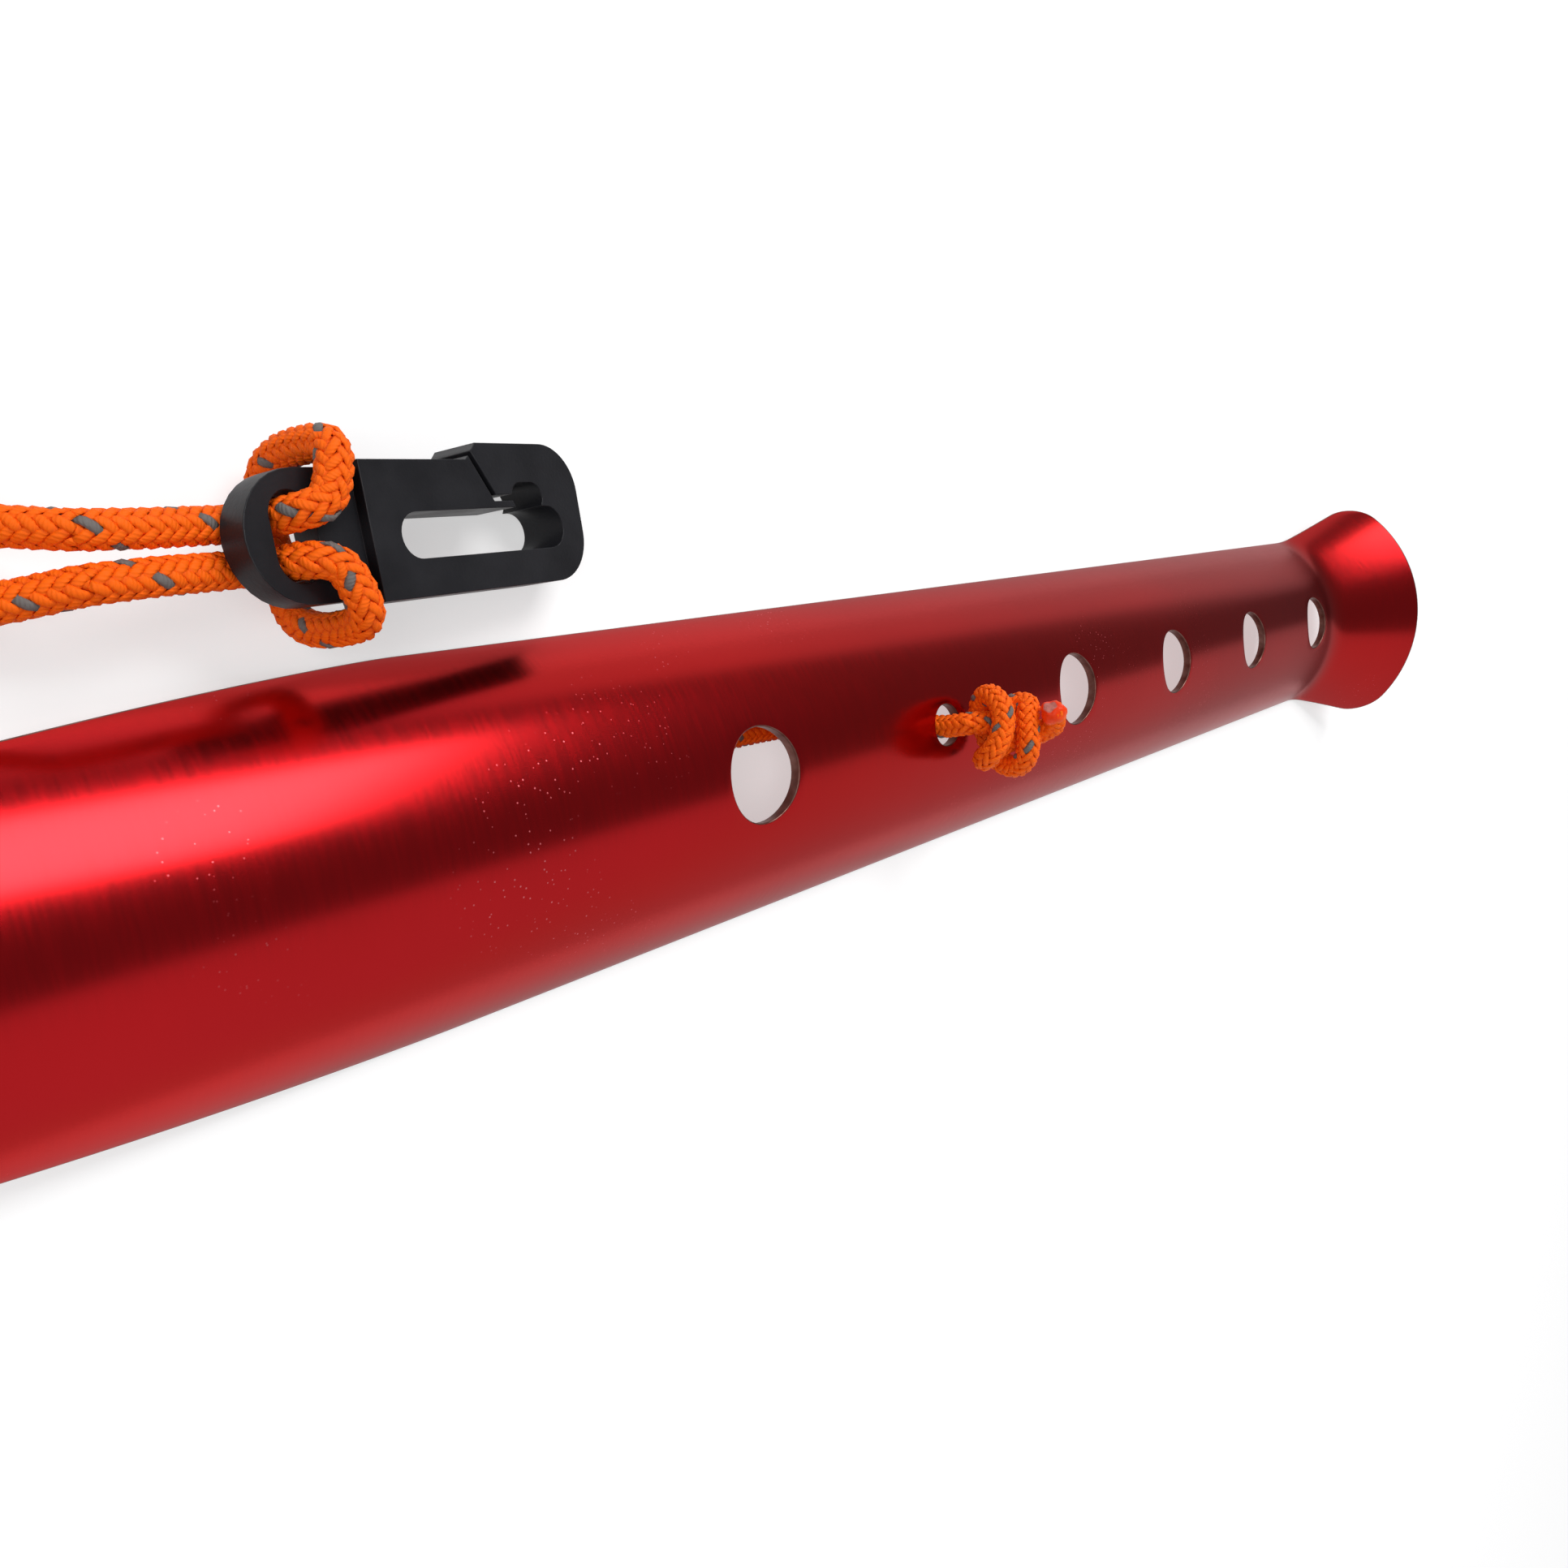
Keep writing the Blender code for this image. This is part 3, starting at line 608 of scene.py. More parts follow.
def hole_walls(builder, outer_holes, inner_holes):
    """Rounded mouth, upright wall and eased far edge of each hole."""
    for (middle, radius, ring), (_, _, inner_ring) in zip(outer_holes, inner_holes):
        for number, (inset, depth) in enumerate(edge_profile(OUTER_HOLE_ROUND, INNER_HOLE_ROUND)):
            places = [circle_point(middle, radius + inset, step, depth) for step in patch_edge()]
            made = [builder.add(x, s, depth) for x, s in places]
            builder.strip(ring, made, number > 0)
            ring = made
        builder.strip(ring, inner_ring, False)


def make_peg(metal, edge_metal):
    builder = SheetBuilder()
    ring, places, outer_holes = sheet_skin(builder, 0.0, OUTER_HOLE_ROUND)
    inner_ring, _, inner_holes = sheet_skin(builder, SHEET_WALL, INNER_HOLE_ROUND)
    sheet_edge(builder, ring, places, inner_ring)
    hole_walls(builder, outer_holes, inner_holes)
    peg = add_mesh("peg_sheet", builder.points, builder.faces, metal, edge_metal)
    face_outwards(peg.data)
    for face, on_edge in zip(peg.data.polygons, builder.edge_faces):
        face.material_index = int(on_edge)
    peg.data.shade_smooth()
    peg.data.set_sharp_from_angle(angle=SHEET_SHARP_ANGLE)
    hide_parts("peg_body")
    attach(peg, "peg")
    return peg


# Cord routes, as in the CAD part


def catmull_rom(before, here, there, after, part):
    lift = part * part
    cube = lift * part
    return 0.5 * (
        2 * here
        + (there - before) * part
        + (2 * before - 5 * here + 4 * there - after) * lift
        + (3 * here - before - 3 * there + after) * cube
    )


def smooth_route(points, step):
    """Points at about equal steps on a smooth curve through the given ones."""
    ends = [points[0] * 2 - points[1]] + points + [points[-1] * 2 - points[-2]]
    fine = []
    for index in range(1, len(ends) - 2):
        before, here, there, after = ends[index - 1:index + 3]
        for part in range(ROUTE_PARTS):
            fine.append(catmull_rom(before, here, there, after, part / ROUTE_PARTS))
    fine.append(points[-1])
    total = sum((b - a).length for a, b in zip(fine, fine[1:]))
    count = max(2, round(total / step))
    wanted = total / count
    route = [fine[0]]
    run = 0.0
    for a, b in zip(fine, fine[1:]):
        piece = (b - a).length
        while run + piece >= wanted * len(route) and len(route) < count:
            route.append(a.lerp(b, (wanted * len(route) - run) / piece))
        run += piece
    route.append(fine[-1])
    return route


def nearest_shares(start_a, run_a, start_b, run_b):
    """Shares along two sets of straight runs at which each pair comes nearest."""
    offset = start_a - start_b
    a_a = (run_a * run_a).sum(axis=1)
    a_b = (run_a * run_b).sum(axis=1)
    b_b = (run_b * run_b).sum(axis=1)
    a_off = (run_a * offset).sum(axis=1)
    b_off = (run_b * offset).sum(axis=1)
    spread = np.maximum(a_a * b_b - a_b * a_b, 1e-9 * a_a * b_b)
    share_a = np.clip((a_b * b_off - b_b * a_off) / spread, 0, 1)
    share_b = np.clip((a_b * share_a + b_off) / b_b, 0, 1)
    share_a = np.clip((a_b * share_b - a_off) / a_a, 0, 1)
    return share_a[:, None], share_b[:, None]


def lengths(ways):
    """The length of each row, as a column."""
    return np.sqrt((ways * ways).sum(axis=1))[:, None]


def settle(strands, held, keep_out):
    """Draw a knot's strands tight, while no strand comes nearer to another than a cord's width.

    strands are lists of points, held the points of each that stay (from its start and from its
    end), and keep_out moves all points clear of what the knot lies on.
    """
    step = KNOT_STEP * CORD
    strands = [smooth_route(strand, step) for strand in strands]
    points = np.array([tuple(point) for strand in strands for point in strand])
    first = np.cumsum([0] + [len(strand) for strand in strands])
    free = np.zeros((len(points), 1))
    runs = []
    for number, (start_held, end_held) in enumerate(held):
        low, high = first[number], first[number + 1]
        free[low + start_held:high - end_held] = 1
        runs += [(index, number) for index in range(low, high - 1)]
    near = SAME_TURN * CORD / step
    pairs = [
        (a, b)
        for a, strand_a in runs
        for b, strand_b in runs
        if b > a and (strand_a != strand_b or b - a > near)
    ]
    index_a = np.array([a for a, b in pairs])
    index_b = np.array([b for a, b in pairs])
    bend = round(BEND_RUN * CORD / step)
    for sweep in range(SETTLE_SWEEPS):
        move = np.zeros_like(points)
        if sweep < SETTLE_SWEEPS * PULLED_SHARE:
            for low, high in zip(first, first[1:]):
                middle = (points[low:high - 2] + points[low + 2:high]) / 2
                move[low + 1:high - 1] = SETTLE_PULL * (middle - points[low + 1:high - 1])
        run_a = points[index_a + 1] - points[index_a]
        run_b = points[index_b + 1] - points[index_b]
        share_a, share_b = nearest_shares(points[index_a], run_a, points[index_b], run_b)
        apart = points[index_a] + run_a * share_a - points[index_b] - run_b * share_b
        length = lengths(apart)
        push = SETTLE_PUSH * np.maximum(KNOT_PITCH - length, 0) * apart / length / 2
        np.add.at(move, index_a, push * (1 - share_a))
        np.add.at(move, index_a + 1, push * share_a)
        np.add.at(move, index_b, -push * (1 - share_b))
        np.add.at(move, index_b + 1, -push * share_b)
        for low, high in zip(first, first[1:]):
            chord = points[low + bend:high] - points[low:high - bend]
            length = lengths(chord)
            push = SETTLE_PUSH * np.maximum(BEND_WIDTH * CORD - length, 0) * chord / length / 4
            move[low + bend:high] += push
            move[low:high - bend] -= push
        points += move * free
        points += (keep_out(points) - points) * free
    return [[Vector(point) for point in points[low:high]] for low, high in zip(first, first[1:])]


def above_floor(points):
    lifted = points.copy()
    lifted[:, 2] = np.maximum(points[:, 2], CORD_LEVEL)
    return lifted


def above_crown(points):
    """Clear of the peg's round back."""
    least = BODY_RADIUS + CORD_RADIUS + CORD_GAP
    out = points - np.array((0, 0, BODY_CENTRE))
    out[:, 0] = 0
    reach = lengths(out)
    return points + out / reach * np.maximum(least - reach, 0)


def knot_frame(origin, yaw, pitch_up):
    """Axes of a knot: along the strand that enters it, across it, and out of it."""
    turn = Matrix.Rotation(yaw, 4, "Z") @ Matrix.Rotation(-pitch_up, 4, "Y")
    return Matrix.Translation(origin) @ turn


def placed(frame_of_knot, points):
    """Knot points, counted in knot pitches, as places beside the peg."""
    return [frame_of_knot @ (Vector(point) * KNOT_PITCH) for point in points]


def barrel_knot_points():
    """Turns round the entering strand, and back inside them to the tail, which curls up."""
    points = []
    for step in range(round(WRAP_TURNS * WRAP_STEPS) + 1):
        turn = math.radians(360 * step / WRAP_STEPS)
        points.append((
            WRAP_START - WRAP_ADVANCE * step / WRAP_STEPS,
            WRAP_HALF_WIDTH * math.cos(turn),
            WRAP_HALF_HEIGHT * math.sin(turn),
        ))
    points += [
        (-1.3, -1.05, -0.4),
        (-1.35, -0.6, -0.15),
        (-0.8, -0.5, 0.0),
        (0.1, -0.5, 0.0),
        (0.85, -0.65, 0.0),
        (1.4, -0.65, 0.0),
        (1.7, -0.2, 0.1),
        (1.7, 0.35, 0.5),
        (1.5, 0.65, 1.1),
        (1.1, 0.75, 1.6),
    ]
    return points


def stopper_knot():
    """From the strand that comes out of the cord hole, through the knot to its tail."""
    origin = (STOPPER_AHEAD, STOPPER_ASIDE, CROWN + STOPPER_LIFT)
    through = [
        (-1.45, 0.2, -0.05),
        (-1.0, 0.25, 0.0),
        (-0.4, 0.35, 0.0),
        (0.2, 0.45, 0.0),
        (0.9, 0.5, 0.0),
        (1.45, 0.95, -0.05),
    ]
    whole = placed(knot_frame(origin, STOPPER_YAW, STOPPER_PITCH_UP), through + barrel_knot_points())
    return settle([whole], [(2, 1)], above_crown)[0]


def loop_knot():
    """The guy cord's stretch through the knot, and the loop's returning side tied round it."""
    level = LOOP_KNOT_LIFT * KNOT_PITCH + CORD_LEVEL
    axes = knot_frame((*LOOP_KNOT_PLACE, level), LOOP_KNOT_YAW, 0)
    through = [(along, CORE_ASIDE, 0.0) for along in (-CORE_REACH, CORE_REACH)]
    entry = [(2.7, 1.5, -0.6), (1.8, 1.65, -0.2)]
    strands = [placed(axes, through), placed(axes, entry + barrel_knot_points())]
    whole_core = round(2 * CORE_REACH * KNOT_PITCH / KNOT_STEP / CORD) + 1
    return settle(strands, [(whole_core, 0), (1, 1)], above_floor)


def tab_hole_u():
    return PIVOT_TO_TAB + TAB_HOLE_WALL + TAB_HOLE_WIDTH / 2


def hook_tilt():
    """The tab is lifted by the cord under it, and the head's end rests on the surface."""
    level_at_neck = TAB_THICK / 2 + 2 * CORD + 2 * CORD_GAP + 2 * FLOOR_GAP
    rise = level_at_neck - HOOK_THICK / 2
    return math.atan2(rise, HOOK_LENGTH - tab_hole_u() - HITCH_SPREAD)


def hook_frame():
    """Origin at the pivot, where the loop's two strands enter the hitch."""
    tilt = hook_tilt()
    far_down = math.cos(tilt) * HOOK_THICK / 2 + FLOOR_GAP
    level = far_down + math.sin(tilt) * HOOK_LENGTH
    turn = Matrix.Rotation(HOOK_YAW, 4, "Z") @ Matrix.Rotation(tilt, 4, "Y")
    return Matrix.Translation((*HOOK_PIVOT, level)) @ turn


def hitch_points():
    """The girth hitch: one strand in, up through the tab, round under it and back."""
    low = -(TAB_THICK / 2 + CORD_GAP + CORD_RADIUS)
    high = -low
    under = low - CORD - CORD_GAP
    side = CORD_RADIUS + CORD_GAP / 2
    hole_u = tab_hole_u()
    neck_u = hole_u + HITCH_SPREAD
    out = TAB_WIDTH / 2 + CORD_GAP + CORD_RADIUS
    turn = HITCH_BEND * (1 - math.sqrt(0.5))
    half = [Vector(point) for point in (
        (-SWING_RADIUS, side, low),
        (0, side, low),
        (hole_u - HITCH_BEND, side, low),
        (hole_u - turn, side, low + turn),
        (hole_u, 1.03 * side, low + HITCH_BEND),
        (hole_u, 1.03 * side, high - HITCH_BEND),
        (hole_u + turn, 1.1 * side, high - turn),
        (hole_u + 0.9 * HITCH_BEND, 1.5 * side, high),
        (neck_u - 0.15 * CORD, 0.86 * out, high),
        (neck_u, out, 0.45 * high),
        (neck_u, out, low),
        (neck_u, 0.8 * out, under + 0.2 * CORD),
        (neck_u, 0.3 * out, under),
    )]
    return half + [Vector((p.x, -p.y, p.z)) for p in reversed(half)]


def strand_ends(side):
    """Where one of the loop's strands meets the hitch, clear of its swing and in line with it."""
    top = -(TAB_THICK / 2 + CORD_GAP)
    low = top - CORD_RADIUS
    across = side * (CORD_RADIUS + CORD_GAP / 2)
    tilt = hook_tilt()
    clear = (SWING_RADIUS + CORD_GAP + top * math.sin(tilt)) / math.cos(tilt)
    return [hook_frame() @ Vector((-back, across, low)) for back in (clear + STRAND_LEAD, clear)]


def in_mm(*points):
    return [Vector(point) * MM for point in points]


def guy_cord_route(knot, through):
    """From the stopper knot down through the hole, under the peg, out under the tapered
    edge near the tip, round to the loop knot and along the loop's near strand."""
    approach = (knot[0] - knot[1]).normalized()
    route = [knot[0] + approach * CORD_GAP, knot[0] + approach * CORD_RADIUS]
    route += in_mm(
        (-0.3, -0.2, 9.6), (-0.4, 0.1, 6.8), (-1.6, 0.5, 3.9), (-5.0, 1.3, 1.9), (-11, 2.3, 1.45),
        (-24, 3.3, 1.45), (-40, 3.0, 1.45), (-58, 1.6, 1.45), (-76, 0.8, 1.45), (-94, 1.2, 1.45),
        (-110, 3.4, 1.45), (-124, 7.6, 1.45), (-135, 13.2, 1.45), (-140.5, 19.6, 1.8), (-137, 24.6, 3.6),
    )
    route += [through[0].lerp(through[-1], share) for share in (0, 0.08, 0.36, 0.64, 0.92, 1)]
    route += in_mm((-108, 23.6, 2.4), (-101, 21.9, 1.5), (-94, 21.8, 3.0))
    route += strand_ends(-1)
    for point in route:
        point.z = max(point.z, CORD_LEVEL)
    return route


def loop_strand_route(knot):
    """The loop's far strand, from the hitch back to the loop knot."""
    away = (knot[0] - knot[1]).normalized()
    route = strand_ends(1)[::-1]
    route += in_mm((-92.5, 27.3, 3.5), (-99, 29.6, 1.6), (-106, 31.0, 1.65))
    return route + [knot[0] + away * CORD, knot[0] + away * CORD_GAP]


# Braided cord


def distances(line):
    """How far along the line each of its points lies."""
    runs = np.linalg.norm(np.diff(line, axis=0), axis=1)
    return np.concatenate([[0], np.cumsum(runs)])


def resampled(line, wanted):
    """The line's points at the wanted distances along it."""
    along = distances(line)
    return np.column_stack([np.interp(wanted, along, line[:, axis]) for axis in range(3)])


def eased(points):
    """The whole cord's line, rounded a little and cut into even short steps."""
    line = np.array([tuple(point) for point in points])
    dense = resampled(line, np.arange(0, distances(line)[-1], FINE_STEP))
    reach = round(3 * SMOOTH_RUN / FINE_STEP)
    offsets = np.arange(-reach, reach + 1) * FINE_STEP
    weights = np.exp(-(offsets / SMOOTH_RUN) ** 2 / 2)
    weights /= weights.sum()
    padded = np.pad(dense, ((reach, reach), (0, 0)), mode="reflect", reflect_type="odd")
    smooth = np.column_stack([np.convolve(padded[:, axis], weights, mode="valid") for axis in range(3)])
    length = distances(smooth)[-1]
    even = np.linspace(0, length, round(length / BRAID_STEP) + 1)
    return resampled(smooth, even), even


def carried_frames(line):
    """The line's way and two directions across it at each point, carried along without twist."""
    ways = np.gradient(line, axis=0)
    ways /= lengths(ways)
    side = np.zeros_like(line)
    start = np.cross(ways[0], (0.0, 0.0, 1.0))
    side[0] = start / np.linalg.norm(start)
    for index in range(1, len(line)):
        moved = side[index - 1] - ways[index] * np.dot(side[index - 1], ways[index])
        side[index] = moved / np.linalg.norm(moved)
    return ways, side, np.cross(ways, side)


def store_lift(mesh, lifts):
    """Keeps a value from 0 to 1 at each point, which the cord's materials read."""
    lift = mesh.attributes.new("lift", "FLOAT", "POINT")
    lift.data.foreach_set("value", np.array(lifts, dtype=np.float32))


class BraidBuilder:
    """One stretch of the cord's braid: points, faces, and what each needs for its look."""

    def __init__(self):
        self.points = []
        self.faces = []
        self.places = []
        self.lifts = []
        self.tracer = []
        self.count = 0

    def tube(self, rings, lifts, along, is_tracer):
        """rings is steps x sides x 3; closed off at both ends."""
        steps, sides = rings.shape[:2]
        self.points.append(rings.reshape(-1, 3))
        self.lifts.append(np.repeat(lifts, sides))
        base = self.count
        for step in range(steps - 1):
            for side in range(sides):
                after = (side + 1) % sides
                here = base + step * sides
                there = here + sides
                self.faces.append((here + side, here + after, there + after, there + side))
                low = side / sides
                high = (side + 1) / sides
                self.places.append(
                    ((along[step], low), (along[step], high), (along[step + 1], high), (along[step + 1], low))
                )
                self.tracer.append(is_tracer)
        for row, turn in ((0, 1), (steps - 1, -1)):
            cap = [base + row * sides + side for side in range(sides)]
            self.faces.append(tuple(cap[::-turn]))
            self.places.append(tuple((along[row], side / sides) for side in range(sides)))
            self.tracer.append(is_tracer)
        self.count += steps * sides

    def finish(self, name, *materials):
        thing = add_mesh(name, np.concatenate(self.points), self.faces, *materials)
        mesh = thing.data
        store_lift(mesh, np.concatenate(self.lifts))
        layer = mesh.uv_layers.new(name="yarn")
        corners = [place for face in self.places for place in face]
        layer.data.foreach_set("uv", np.array(corners, dtype=np.float32).ravel())
        mesh.polygons.foreach_set("material_index", np.array(self.tracer, dtype=np.int32))
        mesh.shade_smooth()
        return thing


def rings_round(line, side, up, half_width, half_height, count):
    """A ring of points round each point of the line: an array of steps x count x 3."""
    turns = np.linspace(0, 2 * math.pi, count, endpoint=False)[None, :, None]
    wide = half_width * np.cos(turns) * side[:, None, :]
    high = half_height * np.sin(turns) * up[:, None, :]
    return line[:, None, :] + wide + high


def make_braid(name, line, frames, along, *materials):
    """A stretch of cord: a core, and yarns that wind both ways over and under each other."""
    side, up = frames[1:]
    builder = BraidBuilder()
    yarn_along = along / YARN_WIDTH
    core_radius = CORD_RADIUS - YARN_WAVE - YARN_THICK
    core = rings_round(line, side, up, core_radius, core_radius, CORE_SIDES)
    # The core's lift of 0 gives it the darkest painted shade of the yarn material
    builder.tube(core, np.zeros(len(line)), yarn_along, 0)
    middle_radius = CORD_RADIUS - YARN_WAVE - YARN_THICK / 2
    crossing = 2 * CARRIERS * along / BRAID_PITCH
    # The two directions wave half a wave apart, so where one yarn is over, the other is under
    for direction, behind in ((1, 0.5), (-1, 2.5)):
        for carrier in range(CARRIERS):
            angle = direction * 2 * math.pi * along / BRAID_PITCH + 2 * math.pi * carrier / CARRIERS
            over = np.cos(math.pi / 2 * (direction * crossing + 2 * carrier - behind))
            out = np.cos(angle)[:, None] * side + np.sin(angle)[:, None] * up
            place = line + (middle_radius + YARN_WAVE * over)[:, None] * out
            way = np.gradient(place, axis=0)
            way /= lengths(way)
            wide = np.cross(way, out)
            wide /= lengths(wide)
            rings = rings_round(place, wide, np.cross(wide, way), YARN_WIDTH / 2, YARN_THICK / 2, YARN_SIDES)
            is_tracer = int(direction == 1 and carrier == 0)
            # Lift runs from 0 where a yarn dips under to 1 where it passes over; the yarn material paints
            # shade and highlight from it
            builder.tube(rings, 0.5 + 0.5 * over, yarn_along, is_tracer)
    return builder.finish(name, *materials)


def melted_end(name, line, frames, at_start, material):
    """A lumpy sealed end on the cord, its face flattened."""
    ways, side, up = frames
    row = 0 if at_start else -1
    out = -ways[row] if at_start else ways[row]
    points = []
    lifts = []
    faces = []
    # How far ahead of the cord's end each ring lies and how wide it is, in cord radii
    rings = [
        (-0.95, 0.84), (-0.7, 0.97), (-0.4, 1.02), (-0.1, 0.98), (0.15, 0.9),
        (0.35, 0.76), (0.45, 0.6), (0.47, 0.5), (0.44, 0.25),
    ]
    last = len(rings) - 1
    for number, (ahead, width) in enumerate(rings):
        share = number / last
        for step in range(END_SIDES):
            turn = 2 * math.pi * step / END_SIDES
            lump = 1 + 0.07 * math.sin(3 * turn + 2.5 * share) + 0.05 * math.sin(5 * turn - 4 * share)
            tip = ahead + 0.12 * share * math.cos(turn - 0.7) + 0.05 * math.sin(4 * turn)
            across = math.cos(turn) * side[row] + math.sin(turn) * up[row]
            points.append(line[row] + out * tip * CORD_RADIUS + across * CORD_RADIUS * width * lump)
            lifts.append(share)
    for number in range(last):
        for step in range(END_SIDES):
            after = (step + 1) % END_SIDES
            here = number * END_SIDES
            there = here + END_SIDES
            faces.append((here + step, here + after, there + after, there + step))
    faces.append(tuple(range(last * END_SIDES, (last + 1) * END_SIDES)))
    faces.append(tuple(reversed(range(END_SIDES))))
    end = add_mesh(name, points, faces, material)
    store_lift(end.data, lifts)
    face_outwards(end.data)
    end.data.shade_smooth()
    end.data.set_sharp_from_angle(angle=END_SHARP_ANGLE)
    return end


def nearest_row(line, place):
    return int(np.argmin(np.linalg.norm(line - np.array(place), axis=1)))


def make_cords():
    """The one cord, from the stopper knot's tail to the loop knot's tail, cut where its bodies change."""
    # Each yarn gets a colour in painted shade and a lit colour, between which its painted shade runs
    orange = yarn("orange_yarn", (0.6, 0.04, 0.0005), (1.0, 0.14, 0.0005))
    grey_yarn = yarn("grey_tracer_yarn", (0.06, 0.055, 0.05), (0.17, 0.15, 0.14))
    sealed = melted_nylon()
    stopper = stopper_knot()
    through, loop = loop_knot()
    guy = smooth_route(guy_cord_route(stopper, through), CORD_STEP * CORD)
    hitch = smooth_route([hook_frame() @ point for point in hitch_points()], KNOT_STEP * CORD)
    hitch.reverse()
    strand = smooth_route(loop_strand_route(loop), CORD_STEP * CORD)
    line, along = eased(list(reversed(stopper)) + guy + hitch + strand + loop)
    frames = carried_frames(line)
    bend_in, bend_out = (
        hook_frame() @ Vector((-STRAND_BEND_START, side * CORD_RADIUS, -TAB_THICK - CORD_RADIUS))
        for side in (-1, 1)
    )
    cuts = [
        0,
        nearest_row(line, stopper[0]),
        nearest_row(line, bend_in),
        nearest_row(line, bend_out),
        nearest_row(line, loop[0]),
        len(line) - 1,
    ]
    names = ["stopper_cord", "guy_line", "hitch_line", "loop_line", "loop_knot_cord"]
    nodes = ["stopper_knot", "guy_cord", "girth_hitch", "loop_strand", "loop_knot"]
    pieces = {}
    lines = {}
    for name, low, high in zip(names, cuts, cuts[1:]):
        rows = slice(low, high + 1)
        stretch = tuple(axis[rows] for axis in frames)
        pieces[name] = make_braid(name, line[rows], stretch, along[rows], orange, grey_yarn)
        lines[name] = line[rows]
    ends = [
        melted_end("stopper_end", line, frames, True, sealed),
        melted_end("loop_knot_end", line, frames, False, sealed),
    ]
    for name, node_name in zip(names, nodes):
        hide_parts(node_name)
        if name == "hitch_line":
            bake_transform(pieces[name])
        else:
            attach(pieces[name], "peg")
    for end in ends:
        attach(end, "peg")
    declare_cord(lines["guy_line"])
    declare_cord(lines["loop_line"])


def declare_cord(line):
    path = [tuple(float(c) for c in point) for point in line[::PATH_EVERY]]
    path.append(tuple(float(c) for c in line[-1]))


# Cord hook; u runs along it and v across it


def stadium(length, width, centre, upright=False):
    """A slot outline with round ends."""
    points = []
    straight = (length - width) / 2
    for end in (1, -1):
        for step in range(ARC_STEPS + 1):
            turn = math.radians(-90 + 180 * step / ARC_STEPS)
            along = end * (straight + width / 2 * math.cos(turn))
            across = end * width / 2 * math.sin(turn)
            if upright:
                along, across = -across, along
            points.append((centre[0] + along, centre[1] + across))
    return points


def hook_outline():
    """Outline of the hook's thick part, seen from above."""
    back = PIVOT_TO_TAB + TAB_LENGTH
    low = -HOOK_WIDTH / 2
    high = HOOK_WIDTH / 2
    top = high + HEAD_STEP
    corner = [
        (HOOK_END_RADIUS * (1 - math.sin(turn)), HOOK_END_RADIUS * (1 - math.cos(turn)))
        for turn in quarter_turns(ARC_STEPS)
    ]
    outline = [(back, low)]
    outline += [(HOOK_LENGTH - a, low + b) for a, b in corner]
    outline += [(HOOK_LENGTH - b, top - a) for a, b in corner]
    return outline + [(HEAD_START, top), (HEAD_START - HEAD_STEP, high), (back, high)]


def eye_centre():
    return (HEAD_START + EYE_AHEAD, SLOT_OFFSET + (SLOT_WIDTH + EYE_WIDTH) / 2 - EYE_OVERLAP)


def slit_outline():
    """A narrow saw-cut from the hook's far edge, slanting in and along to the eye."""
    edge = HOOK_WIDTH / 2 + HEAD_STEP
    eye_u, eye_v = eye_centre()
    half = SLIT_WIDTH / 2
    start_u = HEAD_START + half
    knee_u = HEAD_START + SLIT_KNEE
    return [
        (start_u - HEAD_STEP, edge),
        (knee_u - half, eye_v + half),
        (eye_u, eye_v + half),
        (eye_u, eye_v - half),
        (knee_u - 2 * half, eye_v - half),
        (start_u - HEAD_STEP - 2 * half, edge),
    ]


def make_plate(name, outline, thick):
    """An outline raised evenly above and below its middle plane."""
    count = len(outline)
    points = [(u, v, -thick / 2) for u, v in outline] + [(u, v, thick / 2) for u, v in outline]
    faces = [tuple(reversed(range(count))), tuple(range(count, 2 * count))]
    for index in range(count):
        after = (index + 1) % count
        faces.append((index, after, count + after, count + index))
    plate = add_mesh(name, points, faces)
    face_outwards(plate.data)
    return plate


def make_hook(material):
    """The moulding: thick body, thin tab, slot, eye and slit, all edges softly rounded."""
    hook = make_plate("hook_moulding", hook_outline(), HOOK_THICK)
    tab_reach = TAB_LENGTH + TAB_WIDTH / 2
    slot_length = HOOK_LENGTH - SLOT_END_WALL - SLOT_START
    slot_centre = (SLOT_START + slot_length / 2, SLOT_OFFSET)
    tab = stadium(tab_reach, TAB_WIDTH, (PIVOT_TO_TAB + tab_reach / 2, 0))
    cuts = [
        ("tab_hole_form", stadium(TAB_HOLE_LENGTH, TAB_HOLE_WIDTH, (tab_hole_u(), 0), upright=True)),
        ("slot_form", stadium(slot_length, SLOT_WIDTH, slot_centre)),
        ("eye_form", stadium(EYE_LENGTH, EYE_WIDTH, eye_centre())),
        ("slit_form", slit_outline()),
    ]
    forms = [("UNION", make_plate("tab_form", tab, TAB_THICK))]
    forms += [("DIFFERENCE", make_plate(name, outline, 2 * HOOK_THICK)) for name, outline in cuts]
    for operation, form in forms:
        change = hook.modifiers.new(form.name, "BOOLEAN")
        change.operation = operation
        change.solver = "EXACT"
        change.object = form
    soften = hook.modifiers.new("edges", "BEVEL")
    soften.width = HOOK_EDGE_ROUND
    soften.segments = HOOK_EDGE_STEPS
    soften.limit_method = "ANGLE"
    soften.angle_limit = HOOK_EDGE_ANGLE
    soften.harden_normals = True
    whole = bpy.data.meshes.new_from_object(hook.evaluated_get(bpy.context.evaluated_depsgraph_get()))
    hook.modifiers.clear()
    hook.data = whole
    for _, form in forms:
        bpy.data.objects.remove(form, do_unlink=True)
    whole.materials.clear()
    whole.materials.append(material)
    whole.transform(hook_frame())
    whole.shade_smooth()
    whole.set_sharp_from_angle(angle=HOOK_SHARP_ANGLE)
    flats = hook.modifiers.new("flats", "WEIGHTED_NORMAL")
    flats.keep_sharp = True
    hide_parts("cord_hook")
    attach(hook, "hook")
    return hook


# Stage


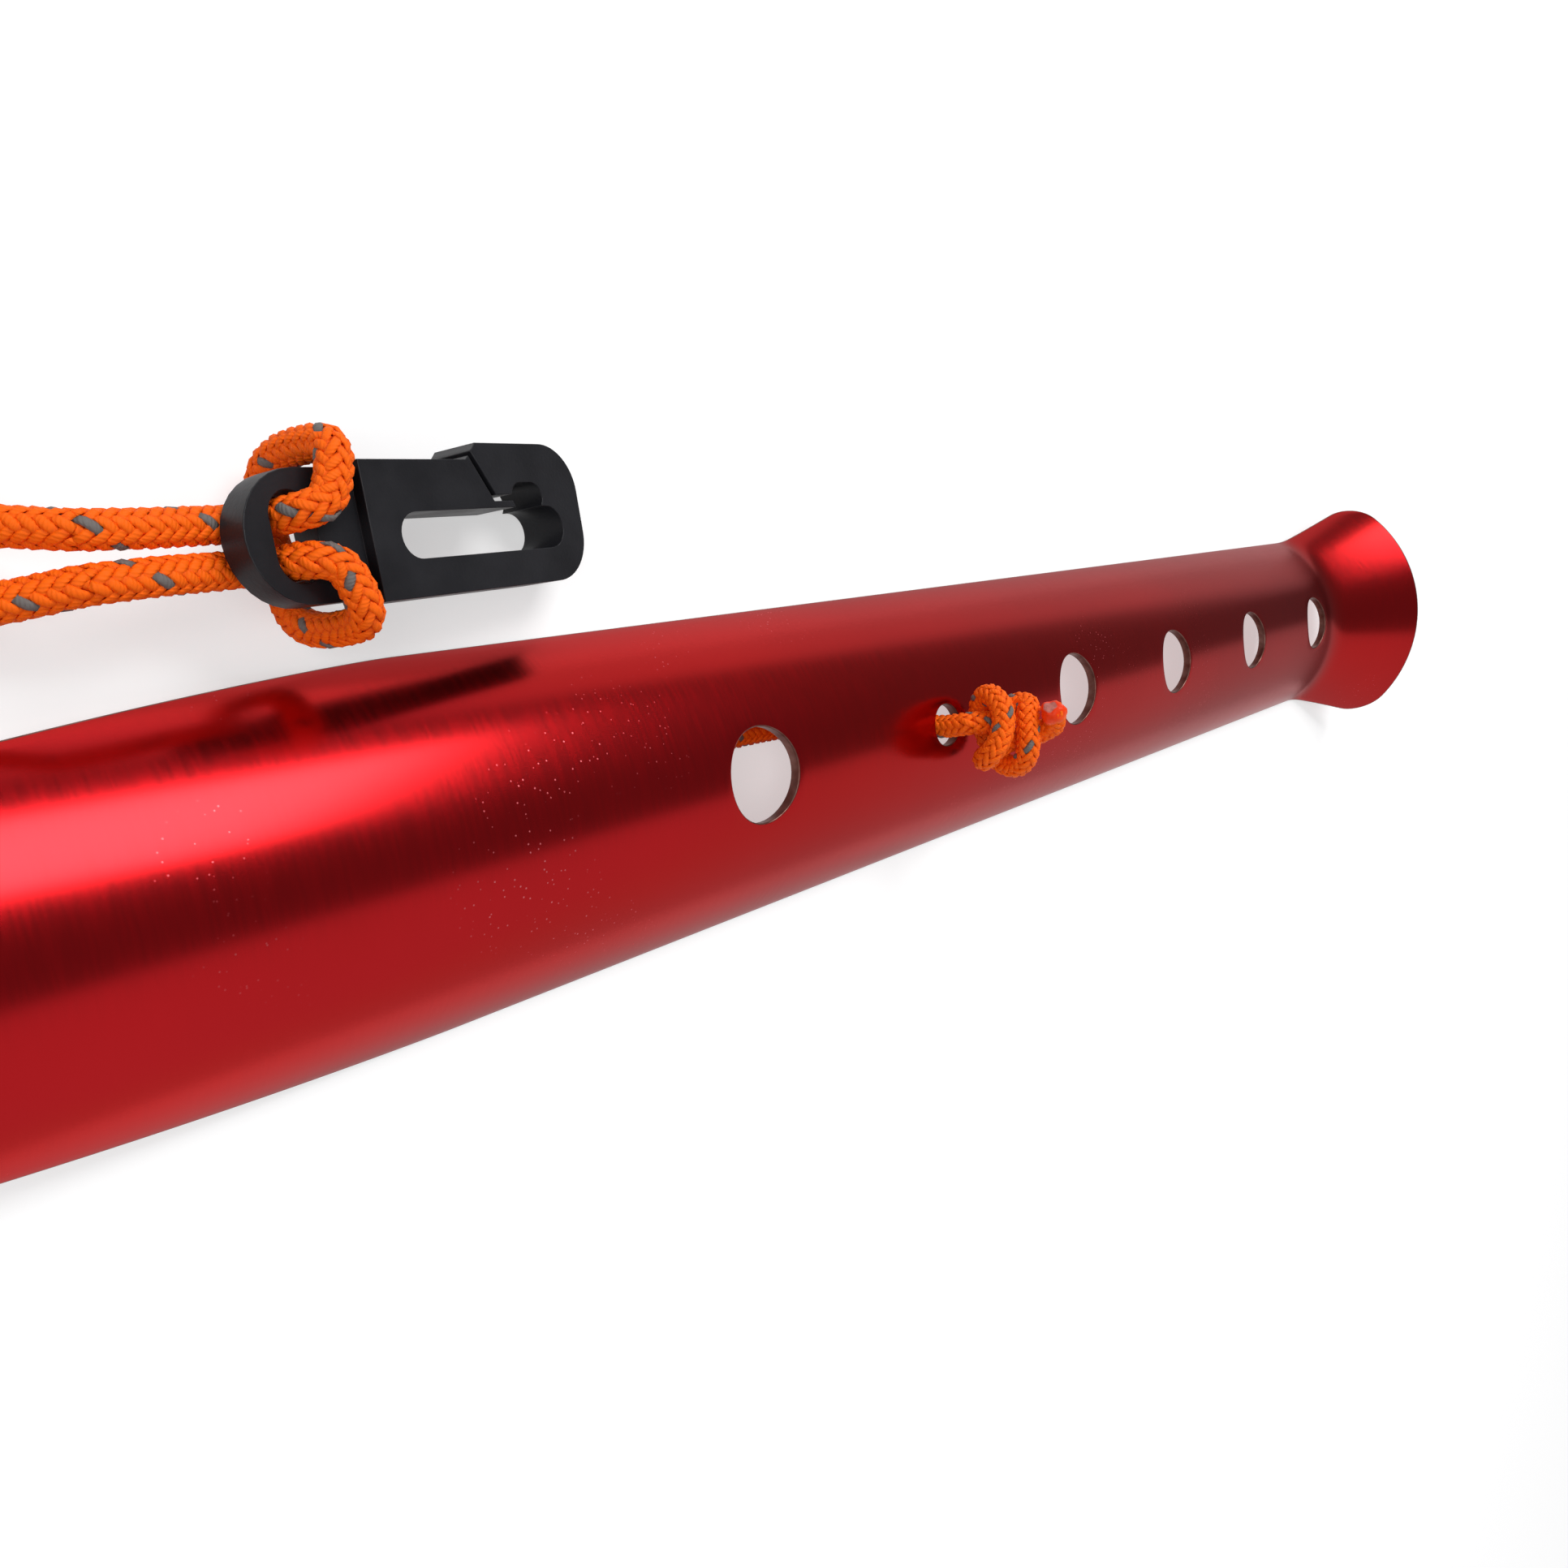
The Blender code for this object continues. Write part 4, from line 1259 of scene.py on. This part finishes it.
def make_camera():
    data = bpy.data.cameras.new("camera")
    data.lens = CAMERA_LENS
    data.sensor_width = CAMERA_SENSOR
    data.clip_start = CAMERA_NEAR
    camera = add_object("camera", data)
    right = Vector(CAMERA_RIGHT).normalized()
    up = Vector(CAMERA_UP).normalized()
    turn = Matrix((right, up, right.cross(up))).transposed().to_4x4()
    camera.matrix_world = Matrix.Translation(CAMERA_PLACE) @ turn
    bpy.context.scene.camera = camera


def make_floor():
    corners = [(x * FLOOR_REACH, y * FLOOR_REACH, 0) for x, y in ((-1, -1), (1, -1), (1, 1), (-1, 1))]
    add_mesh("floor", corners, [(0, 1, 2, 3)], floor_material())


def add_soft_light(name, place, target, size, brightness):
    """A panel that faces its target; brightness is that of its face, where a white floor is about 1."""
    data = bpy.data.lights.new(name, "AREA")
    data.shape = "RECTANGLE"
    data.size, data.size_y = size
    data.energy = brightness * math.pi * size[0] * size[1]
    light = add_object(name, data)
    light.location = place
    way = Vector(target) - Vector(place)
    light.rotation_euler = way.to_track_quat("-Z", "Y").to_euler()


def make_lights():
    """A dim room with a pale wall near and far, a bright soft window and a weaker fill."""
    world = bpy.data.worlds.new("studio")
    world.use_nodes = True
    bpy.context.scene.world = world
    background = world.node_tree.nodes["Background"]
    feed(world.node_tree, background, Color=(0.19, 0.19, 0.195, 1.0), Strength=1.0)
    add_soft_light("wall", (2.08, -1.2, 0.8), (2.0, -0.47, 0.12), (6.0, 2.2), 0.55)
    add_soft_light("window", (0.286, 0.935, 1.11), (-0.08, 0, 0), (0.73, 0.8), 8.5)
    add_soft_light("fill", (-0.9, 0.1, 0.8), (0, 0, 0), (0.6, 0.6), 4.0)
    add_soft_light("far_wall", (1.04, 1.18, 0.25), (0, 0, 0.25), (2.5, 0.5), 0.65)


def main():
    bpy.context.scene.view_settings.view_transform = "Standard"
    make_camera()
    hook = make_hook(black_plastic())
    make_cords()
    make_peg(anodised_red(), rim_metal())
    make_floor()
    make_lights()


main()
bpy.context.view_layer.update()
